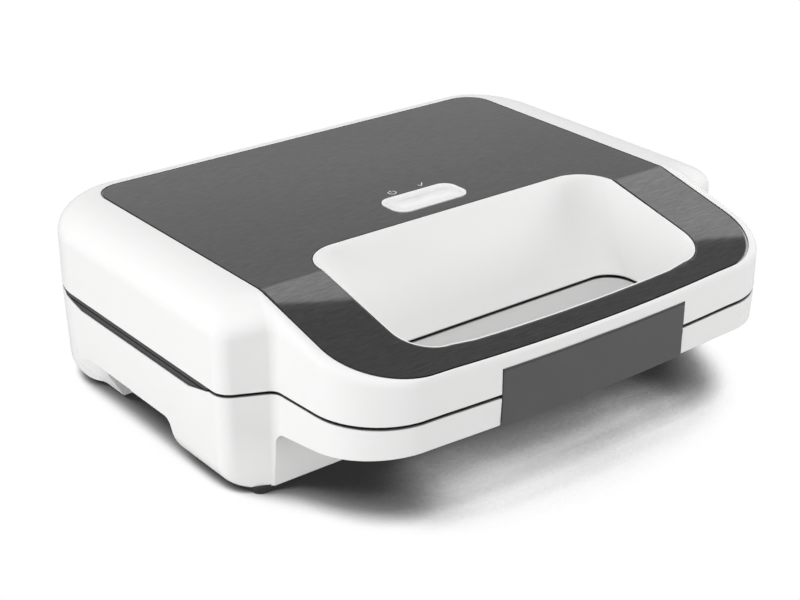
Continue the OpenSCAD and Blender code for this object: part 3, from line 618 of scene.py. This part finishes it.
def catchPad(g, w):
    # the flap's pad, or with a gap and a wider side the recess for it in the base
    y, z = body["noseY"], heights["base"]
    bed = latch["thick"] - latch["proud"]
    points = [(y - g, z + g), (y + bed + g, z + g), (y + bed + latch["padLean"] + g, latch["low"] - 5 * g),
              (y - g, latch["low"] - 5 * g)]
    return extruded(points, 0, -latch["padW"] / 2 - w, latch["padW"] / 2 + w)


lidRoom = {"low": 43.6, "high": 71, "seat": 44.1, "wall": 2.5, "wellRise": 0.5, "wellDown": 0.35}


def wellRings(grow, steps, past=0.0):
    # the finger well's wall, from the slot up to its window in the sheet
    low, high = slotLine(grow), wellLine(grow)
    base = heights["lid"] + lidRoom["wellRise"]
    bulge = well["bulge"]
    rings = []
    for i in range(steps + 1):
        t = i / steps
        out = (1 - bulge) * t + bulge * math.sin(math.pi / 2 * t)
        up = (1 - bulge) * t + bulge * (1 - math.cos(math.pi / 2 * t))
        rise = topAt(high[:, 1]) - lidRoom["wellDown"] - base
        rings.append(lift(low + (high - low) * out, base + rise * up))
    if past:
        rings.append(onTop(high, -past))
    return rings


def shoulderRings(steps):
    # the rolled shoulder, lower where the lid's side lies close to the sheet
    low, high = partingLine(0), coverLine(shoulder["rim"])
    width = np.linalg.norm(low - high, axis=1)
    drop = shoulder["drop"] * np.minimum(width / shoulder["w"], 1) ** shoulder["power"]
    rings = []
    for r in range(steps + 1):
        a = math.pi / 2 * r / steps
        p = high + (low - high) * math.cos(a)
        rings.append(lift(p, topAt(high[:, 1]) - drop * (1 - math.sin(a))))
    return rings


def lidSkin():
    s = Skin()
    z = heights["lid"]
    seat, lip = coverLine(cover["gap"]), coverLine(cover["lip"])
    outer = [lift(partingLine(g), z + up) for g, up in ((1.2, 0), (0.5, 0), (0.14, 0.14), (0, 0.5))]
    outer += shoulderRings(18) + [onTop(lip, 0), onTop(seat, 0.15), onTop(seat, cover["thick"])]
    outerLow, floorRing = s.bands(outer)
    inner = [onTop(wellLine(g), d) for g, d in ((0.9, cover["thick"]), (0.9, 0.12), (0.75, 0), (0.4, 0))]
    inner += wellRings(0, 18)[::-1]
    inner += [lift(slotLine(g), z + up) for g, up in ((0.15, 0.14), (0.5, 0), (1.0, 0))]
    wellTop, wellLow = s.bands(inner)
    eye = lensLine(lens["gap"])
    lensTop, lensLow = s.bands([lift(eye, heights["top"] - cover["thick"]), lift(eye, lens["low"])])
    s.fill(lensLow)
    s.fill(floorRing, wellTop, lensTop)
    edge = plateLine(plate["fit"])
    seatLow, seatTop = s.bands([lift(edge, z), lift(edge, lidRoom["seat"])])
    s.fill(seatTop)
    s.fill(outerLow, wellLow, seatLow)
    return s.piece("lidMoulding")


def latchTools():
    # room for the flap in the lid: its bed, the round pocket about its axis and the bore of its axles
    half = latch["w"] / 2 + latch["side"]
    y, z = latch["axisY"], latch["axisZ"]
    rings = [across(circle((y, z), latchReach(x), 64), 0, (x,))[0] for x in np.linspace(-half, half, 17)]
    stub = latch["w"] / 2 + latch["stub"] + latch["side"]
    bore = extruded(circle((y, z), latch["axle"] + latch["play"], 24), 0, -stub, stub)
    return [bowed(-latch["cutAhead"], latch["bed"], 2 * half, latch["cutLow"], z), solid(rings), bore]


def makeLid():
    made = lidSkin()
    ledge = plateLine(-plate["ledge"])
    room = solid([lift(ledge, lidRoom["low"]), lift(ledge, lidRoom["high"])])
    wall = lidRoom["wall"]
    carve(room, "DIFFERENCE", [solid([lift(slotLine(wall), heights["lid"] - 2)] + wellRings(wall, 8, 2))])
    carve(made, "DIFFERENCE", [room])
    carve(made, "UNION", [knuckle(side * hinge["span"], True) for side in (-1, 1)])
    carve(made, "DIFFERENCE", [hingeBore()] + latchTools())
    return finished(made, "lidMoulding", finishes["white"], 40)


def makeCover():
    rim = ((0, 0.8), (0, 0.18), (-0.08, 0.05), (-0.25, 0))
    window = ((1.55, 0), (1.38, 0.05), (1.3, 0.18), (1.3, 0.8))
    eye = ((0.5, 0), (0.33, 0.05), (0.25, 0.18), (0.25, 0.8))
    s = Skin()
    rimLow, rimTop = s.bands([onTop(coverLine(g), d) for g, d in rim])
    windowTop, windowLow = s.bands([onTop(wellLine(g), d) for g, d in window])
    eyeTop, eyeLow = s.bands([lift(lensLine(g), heights["top"] - d) for g, d in eye])
    s.fill(rimTop, windowTop, eyeTop)
    s.fill(rimLow, windowLow, eyeLow)
    made = s.piece("steelCover")
    rollBend(made)
    return finished(made, "steelCover", finishes["cover"], 30)


def rollBend(made):
    # the sheet needs cross lines where it is rolled, or its wide faces would bridge the bend
    work = bmesh.new()
    work.from_mesh(made.data)
    soft = cover["soft"]
    crossLines(work, 1, np.linspace(cover["bendY"] - soft, cover["bendY"] + soft, 9))
    faces = [face for face in work.faces if abs(face.normal.z) > 0.5]
    for v in {v for face in faces for v in face.verts}:
        y, down = v.co.y * 1000, topAt(v.co.y * 1000) - v.co.z * 1000
        if abs(y - cover["bendY"]) < soft + 0.01 and down < cover["side"]:
            v.co.z = (topAt(y) - (0 if abs(down) < cover["upperSide"] else cover["thick"])) * mm
    work.to_mesh(made.data)
    work.free()


def makeLens():
    s = Skin()
    n = lens
    profile = ((0, n["low"]), (0, n["rimTop"] - 0.3), (-0.08, n["rimTop"] - 0.1), (-0.3, n["rimTop"]),
               (-0.9, n["rimTop"]), (-1.2, n["rimTop"] - 0.12), (-1.5, n["floor"] + 0.08), (-1.8, n["floor"]),
               (-2.4, n["floor"]), (-2.8, n["floor"] + 0.1), (-3.2, n["island"] - 0.06), (-3.6, n["island"]))
    low, top = s.bands([lift(lensLine(g), z) for g, z in profile])
    oval = circle((0, 0), 1, 40) * n["eye"]
    eyes = []
    for side in (-1, 1):
        rings = [lift(oval * q + (side * n["eyeX"], n["y"]), n["island"] + n["dome"] * math.sqrt(1 - q * q))
                 for q in (1, 0.97, 0.88, 0.72, 0.5, 0.25)]
        edge, crown = s.bands(rings)
        s.fill(crown)
        eyes.append(edge)
    s.fill(low)
    s.fill(top, *eyes)
    return s.piece("indicatorLens", finishes["lens"], 50)


marks = {"y": 10.6, "ringX": -7, "tickX": 8.5, "r": 1.7, "line": 0.45, "sunk": 0.02, "h": 0.06,
         "strokeLow": 0.3, "strokeUp": 0.6}


def makeMarks():
    # plain signs printed over the two lamps: a ring with a stroke, and a tick
    line, r = marks["line"], marks["r"]
    turns = np.radians(np.linspace(130, 410, 40))
    way = np.column_stack((np.cos(turns), np.sin(turns)))
    ring = np.concatenate((way * (r + line / 2), way[::-1] * (r - line / 2)))
    low, up = marks["strokeLow"], r + marks["strokeUp"]
    stroke = np.array([(-line / 2, low), (line / 2, low), (line / 2, up), (-line / 2, up)])
    tick = np.array([(-1.7, 0.1), (-0.6, -1.5), (2.0, 1.5), (1.55, 1.75), (-0.62, -0.75), (-1.35, 0.4)])
    s = Skin()
    for sign, x in ((ring, marks["ringX"]), (stroke, marks["ringX"]), (tick, marks["tickX"])):
        outline = sign + (x, marks["y"])
        bottom, top = s.bands([lift(outline, heights["top"] - marks["sunk"]),
                               lift(outline, heights["top"] + marks["h"])])
        s.fill(bottom)
        s.fill(top)
    return s.piece("lampMarks", finishes["print"], 30)


legs = {"inX": 79, "frontY": -12.75, "rearY": 46.25, "lean": 8, "belly": 13.8, "arch": 16.5, "archR": 5,
        "archX": (124.5, 136), "under": 25, "rise": 5.5, "riseAhead": 1.18, "ahead": 10, "gripR": 4}
scoop = {"low": 0.5, "high": 0.7, "up": 0.5, "ahead": 22, "flat": 14, "end": 26}
sideSlot = {"front": -36.5, "rear": 75, "h": 3.5, "lip": 0.3, "run": 14, "x": (124, 144)}
room = {"floor": 16, "pastX": 140, "pastY": 110, "pastZ": -1}
foot = {"x": 102.5, "frontY": -41.45, "rearY": 58.75, "w": 34, "d": 20, "r": 3, "h": 3.0, "fit": 0.25}
plateScrew = {"y": (19.5, 78), "headR": 3.2, "headZ": (10, 14.2), "r": 1.55, "z": (12, 18)}
gland = {"z": 25.7, "r": 6.2, "inner": 86, "flange": 8.3, "flangeIn": 100.25, "end": 103.05, "bore": 3.6,
         "fit": 0.05, "flangeFit": 0.25, "cutIn": 80, "cutOut": 120}


def onBothSides(span):
    inner, outer = span
    return (-outer, -inner), (inner, outer)


def footLine(g, x=0, y=0):
    return lozenge(foot["w"] / 2 + g, foot["d"] / 2 + g, foot["r"] + g, 8) + np.array((x, y))


def baseBlock():
    # full block with a round lower edge and a small roll at the parting line
    drafted, low = partingLine(sole["draft"]), soleLine()
    rings = []
    for i in range(15):
        a = math.pi / 2 * i / 14
        rings.append(lift(low + (drafted - low) * math.sin(a), sole["z"] + sole["inset"] * (1 - math.cos(a))))
    rings += [lift(partingLine(g), heights["base"] - d) for g, d in ((0, 0.5), (0.14, 0.14), (0.5, 0))]
    return solid(rings, "baseMoulding")


def gripTool():
    # room below the grip, in front of the front legs
    nose, neck, low = body["noseY"], body["neckY"], room["pastZ"]
    wallFoot = (neck + sole["neck"], low)
    ahead = nose - legs["ahead"]
    points = [wallFoot] + roundCorner(wallFoot, (neck, legs["under"]), (nose, legs["under"] + legs["rise"]),
                                      legs["gripR"], 8)
    points += [(ahead, legs["under"] + legs["rise"] * legs["riseAhead"]), (ahead, low)]
    return extruded(points, 0, -room["pastX"], room["pastX"])


def bellyTool():
    # room between the left and the right legs
    x, low, high = legs["inX"], room["pastZ"], legs["belly"]
    return extruded([(-x, low), (x, low), (x, high), (-x, high)], 1, body["noseY"], room["pastY"])


def archTool(z, x0, x1):
    # room between the front and the rear legs
    front, top = (legs["frontY"], room["pastZ"]), (legs["frontY"] + legs["lean"], z)
    rear, low = (legs["rearY"], z), (legs["rearY"], room["pastZ"])
    points = [front] + roundCorner(front, top, rear, legs["archR"], 10)
    points += roundCorner(top, rear, low, legs["archR"], 10) + [low]
    return extruded(points, 0, x0, x1)


def scoopTool(side):
    # slanted cut out of a rear leg's outer edge that runs out towards the rear
    low = np.array((body["halfW"] - sole["inset"] + scoop["low"], sole["z"]))
    high = np.array((body["halfW"] - scoop["high"], legs["arch"] + scoop["up"]))
    out, under = high + (high - low) / 2, low - (high - low) / 4
    y = legs["rearY"]
    points = [(p[0], v, p[1]) for p in (under, out, (out[0], under[1]))
              for v in (y - scoop["ahead"], y + scoop["flat"])]
    points += [(out[0] - dx, y + scoop["end"], v) for dx in (0, 1) for v in (low[1], high[1])]
    work = bmesh.new()
    for p in points:
        work.verts.new((p[0] * side * mm, p[1] * mm, p[2] * mm))
    hull = bmesh.ops.convex_hull(work, input=work.verts)
    spare = [v for v in hull["geom_interior"] + hull["geom_unused"] if isinstance(v, bmesh.types.BMVert)]
    bmesh.ops.delete(work, geom=spare, context="VERTS")
    bmesh.ops.recalc_face_normals(work, faces=work.faces)
    mesh = bpy.data.meshes.new("scoop")
    work.to_mesh(mesh)
    work.free()
    tool = bpy.data.objects.new("scoop", mesh)
    scene.collection.objects.link(tool)
    return tool


def sideSlotTools():
    z, lip, run = heights["base"], sideSlot["lip"], sideSlot["run"]
    y0, y1, floor = sideSlot["front"], sideSlot["rear"], z - sideSlot["h"]
    slit = [(y0, z + 1), (y0, z - lip), (y0 + run, floor), (y1 - run, floor), (y1, z - lip), (y1, z + 1)]
    return [extruded(slit, 0, *span) for span in onBothSides(sideSlot["x"])]


def slotTool():
    # the finger slot through the base, with a small roll at the parting line
    low = openingLine(well["lowHalf"], well["lowBackY"], well["slotFrontY"], well["slotR"], well["slotR"])
    rings = [lift(low, well["cutZ"]), lift(low, well["lowZ"])]
    roll = ((0, -0.45), (0.13, -0.13), (0.45, 0), (0.45, 1))
    rings += [lift(slotLine(g), heights["base"] + up) for g, up in roll]
    return solid(rings)


def screwTools():
    tools = []
    for y in plateScrew["y"]:
        tools.append(solid([lift(circle((0, y), plateScrew["headR"]), z) for z in plateScrew["headZ"]]))
        tools.append(solid([lift(circle((0, y), plateScrew["r"], 24), z) for z in plateScrew["z"]]))
    return tools


def glandTools():
    middle = (0, gland["z"])
    return [extruded(circle(middle, gland["flange"] + gland["flangeFit"], 64), 1, gland["flangeIn"],
                     gland["cutOut"]),
            extruded(circle(middle, gland["r"] + gland["fit"], 64), 1, gland["cutIn"], gland["cutOut"])]


def makeBase():
    made = baseBlock()
    z = heights["base"]
    carve(made, "DIFFERENCE", [gripTool(), bellyTool(),
                               archTool(legs["belly"], -room["pastX"], room["pastX"])])
    carve(made, "DIFFERENCE", [archTool(legs["arch"], *span) for span in onBothSides(legs["archX"])])
    carve(made, "DIFFERENCE", [scoopTool(side) for side in (-1, 1)])
    carve(made, "DIFFERENCE", sideSlotTools())
    step = hinge["knuckleW"] + hinge["gap"]
    carve(made, "UNION", [knuckle(side * hinge["span"] + shift, False)
                          for side in (-1, 1) for shift in (-step, step)])
    ledge, edge = plateLine(-plate["ledge"]), plateLine(plate["fit"])
    carve(made, "DIFFERENCE", [
        solid([lift(ledge, room["floor"]), lift(ledge, z)]),
        solid([lift(edge, plate["lowZ"] - plate["rim"]), lift(edge, z + 1)]),
        slotTool(),
        bowed(-latch["cutAhead"], latch["bed"], latch["w"] + 2 * latch["side"],
              latch["low"] - latch["cutBelow"], z + 1),
        catchPad(latch["padGap"], 1),
        hingeBore()])
    carve(made, "DIFFERENCE", screwTools() + glandTools())
    carve(made, "DIFFERENCE", [solid([lift(footLine(foot["fit"], x, y), v) for v in (1, foot["h"])])
                               for x in (-foot["x"], foot["x"]) for y in (foot["frontY"], foot["rearY"])])
    return finished(made, "baseMoulding", finishes["white"], 35)


def flapSlab():
    # flat rounded slab first, then cross lines and the bow of the grip
    w, h = latch["w"] / 2, latch["h"] / 2
    y0 = body["noseY"] - latch["proud"]
    y1 = y0 + latch["thick"]
    rings = []
    for g, y in ((-0.5, y0), (-0.18, y0 + 0.1), (-0.04, y0 + 0.25), (0, y0 + 0.5), (0, y1 - 0.3), (-0.3, y1)):
        outline = lozenge(w + g, h + g, max(latch["corner"] + g, latch["leastCorner"]), 8)
        rings += across(outline + (0, latch["low"] + h), 1, (y,))
    made = solid(rings)
    work = bmesh.new()
    work.from_mesh(made.data)
    crossLines(work, 0, np.linspace(-w, w, 33)[1:-1])
    for v in work.verts:
        v.co.y += bowAt(v.co.x * 1000) * mm
    work.to_mesh(made.data)
    work.free()
    return made


def flapCheek(side):
    # round ear that carries an axle, against the back of the slab
    outer, inner = side * latch["w"] / 2, side * (latch["w"] / 2 - latch["cheek"])
    y, z, r = latch["axisY"], latch["axisZ"], latch["cheekR"]
    front = body["noseY"] + bowAt(latch["w"] / 2) + latch["cheekIn"]
    turns = np.radians(np.linspace(-60, 90, 16))
    points = [(front, z - latch["cheekLow"]), (y - latch["cheekBack"], z - latch["cheekLow"])]
    points += [(y + r * math.cos(t), z + r * math.sin(t)) for t in turns]
    points += [(front, z + latch["cheekTop"])]
    return extruded(points, 0, min(outer, inner), max(outer, inner))


def flapAxle(side):
    w, r, chamfer = latch["w"] / 2, latch["axle"], latch["chamfer"]
    tip = side * (w + latch["stub"])
    rings = []
    for q, x in ((r, side * (w - 1)), (r, tip - side * chamfer), (r - chamfer, tip)):
        rings += across(circle((latch["axisY"], latch["axisZ"]), q, 24), 0, (x,))
    return solid(rings)


def flapLip():
    # ridge behind the flap's upper edge that follows the recess as the flap swings
    rings = []
    for x in np.linspace(-latch["w"] / 2 + latch["lipSide"], latch["w"] / 2 - latch["lipSide"], 9):
        r = latchReach(x) - latch["lipGap"]
        front = body["noseY"] - latch["axisY"] + bowAt(x)
        back, face = front + latch["thick"] - latch["proud"], front + latch["lipIn"]
        crown = [(y, math.sqrt(r * r - y * y)) for y in np.linspace(back, face, 5)]
        points = np.array([(back, 0)] + crown + [(face, 0)]) + (latch["axisY"], latch["axisZ"])
        rings += across(points, 0, (x,))
    return solid(rings)


def makeLatch():
    made = flapSlab()
    parts = [catchPad(0, 0)]
    for side in (-1, 1):
        parts += [flapCheek(side), flapAxle(side)]
    carve(made, "UNION", parts + [flapLip()])
    return finished(made, "latchFlap", finishes["flap"], 32)


def insetTriangle(corners, d):
    t = np.array(corners, float)
    a, b, c = (np.linalg.norm(t[1] - t[2]), np.linalg.norm(t[2] - t[0]), np.linalg.norm(t[0] - t[1]))
    s = (a + b + c) / 2
    mid = (a * t[0] + b * t[1] + c * t[2]) / (2 * s)
    r = math.sqrt((s - a) * (s - b) * (s - c) / s)
    return mid + (t - mid) * (1 - d / r)


def pocketLine(corners, d, r):
    v = insetTriangle(corners, d)
    points = []
    for i in range(3):
        points += roundCorner(v[i - 1], v[i], v[(i + 1) % 3], r, 12)
    return np.array(points)


tab = {"x": (125, 129.4), "gap": 0.25, "lowerTop": 5, "lowerFoot": 0.3, "upperFoot": 3, "upperTop": 0.5}


def plateTab(up):
    # side view of the rim's widening that closes the slot in the side wall
    y0, y1, run = sideSlot["front"], sideSlot["rear"], sideSlot["run"]
    if up > 0:
        low, high = heights["base"] - sideSlot["h"] + tab["gap"], plate["lowZ"]
        top, under = tab["lowerTop"], run + tab["lowerFoot"]
        return [(y0 + top, high), (y0 + under, low), (y1 - under, low), (y1 - top, high)]
    low, middle, high = plate["highZ"], heights["base"], heights["lid"] - tab["gap"]
    top, under = tab["upperTop"], tab["upperFoot"]
    return [(y0 + under, low), (y1 - under, low), (y1 - top, middle), (y1 - top, high), (y0 + top, high),
            (y0 + top, middle)]


def breadTriangles():
    # the two halves of each sandwich, as seen from above
    edge = plate["border"] - plate["ridge"] / 2
    x1, y0, y1 = plate["w"] - edge, plate["front"] + edge, plate["back"] - edge
    right = [((0, y0), (x1, y0), (x1, y1)), ((0, y0), (x1, y1), (0, y1))]
    return right + [tuple((-p[0], p[1]) for p in t) for t in right]


def pocketProfiles():
    # distance from the ridge's edge and height, for a pocket's inside and its back
    run, deep, rim, wall = plate["depth"] * plate["taper"], plate["depth"], plate["rim"], plate["wall"]
    bed = (run, -deep)
    inside = arc((-3, 0), (0, 0), bed, plate["mouthR"], 6)
    inside += arc((0, 0), bed, (run + 9, -deep), plate["bedR"], 8)
    under, cap = (-wall, -rim), (run - wall, -deep - wall)
    outside = arc((-6, -rim), under, cap, plate["shoulderR"], 4)
    outside += arc(under, cap, (run + 6, -deep - wall), plate["capR"], 5)
    return inside, outside


def makePlate(name, z, up):
    # cooking face at z, pockets sunk away from it
    rim, half, r, wall = plate["rim"], plate["ridge"] / 2, plate["cornerR"], plate["wall"]
    inside, outside = pocketProfiles()
    s = Skin()
    edge = ((-0.6, 0), (-0.2, -0.1), (0, -0.5), (0, 0.4 - rim), (-0.4, -rim))
    outer, under = s.bands([lift(plateLine(g), z + d * up) for g, d in edge])
    mouths, backs = [], []
    for t in breadTriangles():
        mouth, floor = s.bands([lift(pocketLine(t, half + d, r), z + h * up) for d, h in inside])
        s.fill(floor)
        mouths.append(mouth)
        back, cap = s.bands([lift(pocketLine(t, half + d, r + wall), z + h * up) for d, h in outside])
        s.fill(cap)
        backs.append(back)
    s.fill(outer, *mouths)
    s.fill(under, *backs)
    made = s.piece(name)
    carve(made, "UNION", [extruded(plateTab(up), 0, *span) for span in onBothSides(tab["x"])])
    return finished(made, name, finishes["plate"], 50)


def feetSpread():
    # sets one foot at the four corners of a grid
    tree = bpy.data.node_groups.new("feetSpread", "GeometryNodeTree")
    face = tree.interface
    face.new_socket("Foot", in_out="INPUT", socket_type="NodeSocketGeometry")
    for label in ("Across", "Along", "Middle"):
        face.new_socket(label, in_out="INPUT", socket_type="NodeSocketFloat")
    face.new_socket("Rubber", in_out="INPUT", socket_type="NodeSocketMaterial")
    face.new_socket("Feet", in_out="OUTPUT", socket_type="NodeSocketGeometry")
    nodes, links = tree.nodes, tree.links
    given, end = nodes.new("NodeGroupInput"), nodes.new("NodeGroupOutput")
    grid = nodes.new("GeometryNodeMeshGrid")
    grid.inputs["Vertices X"].default_value = 2
    grid.inputs["Vertices Y"].default_value = 2
    links.new(given.outputs["Across"], grid.inputs["Size X"])
    links.new(given.outputs["Along"], grid.inputs["Size Y"])
    shift = nodes.new("ShaderNodeCombineXYZ")
    links.new(given.outputs["Middle"], shift.inputs["Y"])
    move = nodes.new("GeometryNodeSetPosition")
    links.new(grid.outputs["Mesh"], move.inputs["Geometry"])
    links.new(shift.outputs[0], move.inputs["Offset"])
    spread = nodes.new("GeometryNodeInstanceOnPoints")
    links.new(move.outputs["Geometry"], spread.inputs["Points"])
    links.new(given.outputs["Foot"], spread.inputs["Instance"])
    real = nodes.new("GeometryNodeRealizeInstances")
    links.new(spread.outputs["Instances"], real.inputs["Geometry"])
    coat = nodes.new("GeometryNodeSetMaterial")
    links.new(real.outputs["Geometry"], coat.inputs["Geometry"])
    links.new(given.outputs["Rubber"], coat.inputs["Material"])
    links.new(coat.outputs["Geometry"], end.inputs["Feet"])
    return tree


def makeFeet():
    profile = ((-3.4, 0.5), (-3.2, 0.12), (-2.9, 0), (-0.8, 0), (-0.25, 0.2), (0, 0.7), (0, foot["h"]))
    made = solid([lift(footLine(g), z) for g, z in profile], "rubberFeet")
    made.data.materials.append(finishes["rubber"])
    smooth(made, 40)
    m = made.modifiers.new("spread", "NODES")
    m.node_group = feetSpread()
    sizes = {"Across": 2 * foot["x"] / 1000, "Along": (foot["rearY"] - foot["frontY"]) / 1000,
             "Middle": (foot["rearY"] + foot["frontY"]) / 2000, "Rubber": finishes["rubber"]}
    for item in m.node_group.interface.items_tree:
        if item.in_out == "INPUT" and item.name in sizes:
            m[item.identifier] = sizes[item.name]
    settle(made)
    smooth(made, 40)
    return made


def makeGland():
    g = gland
    profile = ((g["bore"], g["inner"]), (g["r"] - 0.4, g["inner"]), (g["r"], g["inner"] + 0.4),
               (g["r"], g["flangeIn"]), (g["flange"], g["flangeIn"]), (g["flange"], g["end"] - 0.7),
               (g["flange"] - 0.25, g["end"] - 0.2), (g["flange"] - 0.8, g["end"]),
               (g["bore"] + 1.2, g["end"]), (g["bore"] + 0.4, g["end"] - 0.25), (g["bore"], g["end"] - 0.9))
    s = Skin()
    rings = []
    for r, y in profile:
        rings += [s.ring(ring) for ring in across(circle((0, g["z"]), r, 64), 1, (y,))]
    s.bands(rings + [rings[0]])
    return s.piece("cordBush", finishes["rubber"], 40)


def handOver(made, carrier, slot, *nodes):
    if nodes:
        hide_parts(*nodes)
    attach(made, carrier)


handOver(makeLid(), "lid", "white_moulding", "lid_shell")
print("lid moulding made")
handOver(makeCover(), "lid", "brushed_cover", "top_cover")
handOver(makeLens(), "lid", "lens", "indicator_lens")
handOver(makeMarks(), "lid", "white_moulding")
print("cover, lens and marks made")
handOver(makeBase(), "base", "white_moulding", "base_shell")
print("base moulding made")
handOver(makeLatch(), "latch", "grey_moulding", "latch_clip")
handOver(makePlate("lowerPlate", plate["lowZ"], 1), "base", "coated_casting", "lower_cooking_plate")
handOver(makePlate("upperPlate", plate["highZ"], -1), "lid", "coated_casting", "upper_cooking_plate")
handOver(makeFeet(), "base", "black_rubber", "foot_front_left", "foot_front_right", "foot_rear_left",
         "foot_rear_right")
handOver(makeGland(), "base", "black_rubber", "cord_gland")
print("latch, plates, feet and cord bush made")

# nodes whose CAD shape stays: they only get their finish
keeps = {"thermostat": "mica", "lid_thermostat": "mica", "lamp_board": "mica", "terminal_block": "ivory",
         "power_lamp": "red", "ready_lamp": "green"}
for name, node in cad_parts.items():
    node.data.materials.clear()
    node.data.materials.append(finishes[keeps.get(name, "steel")])
print("carried-over nodes finished")
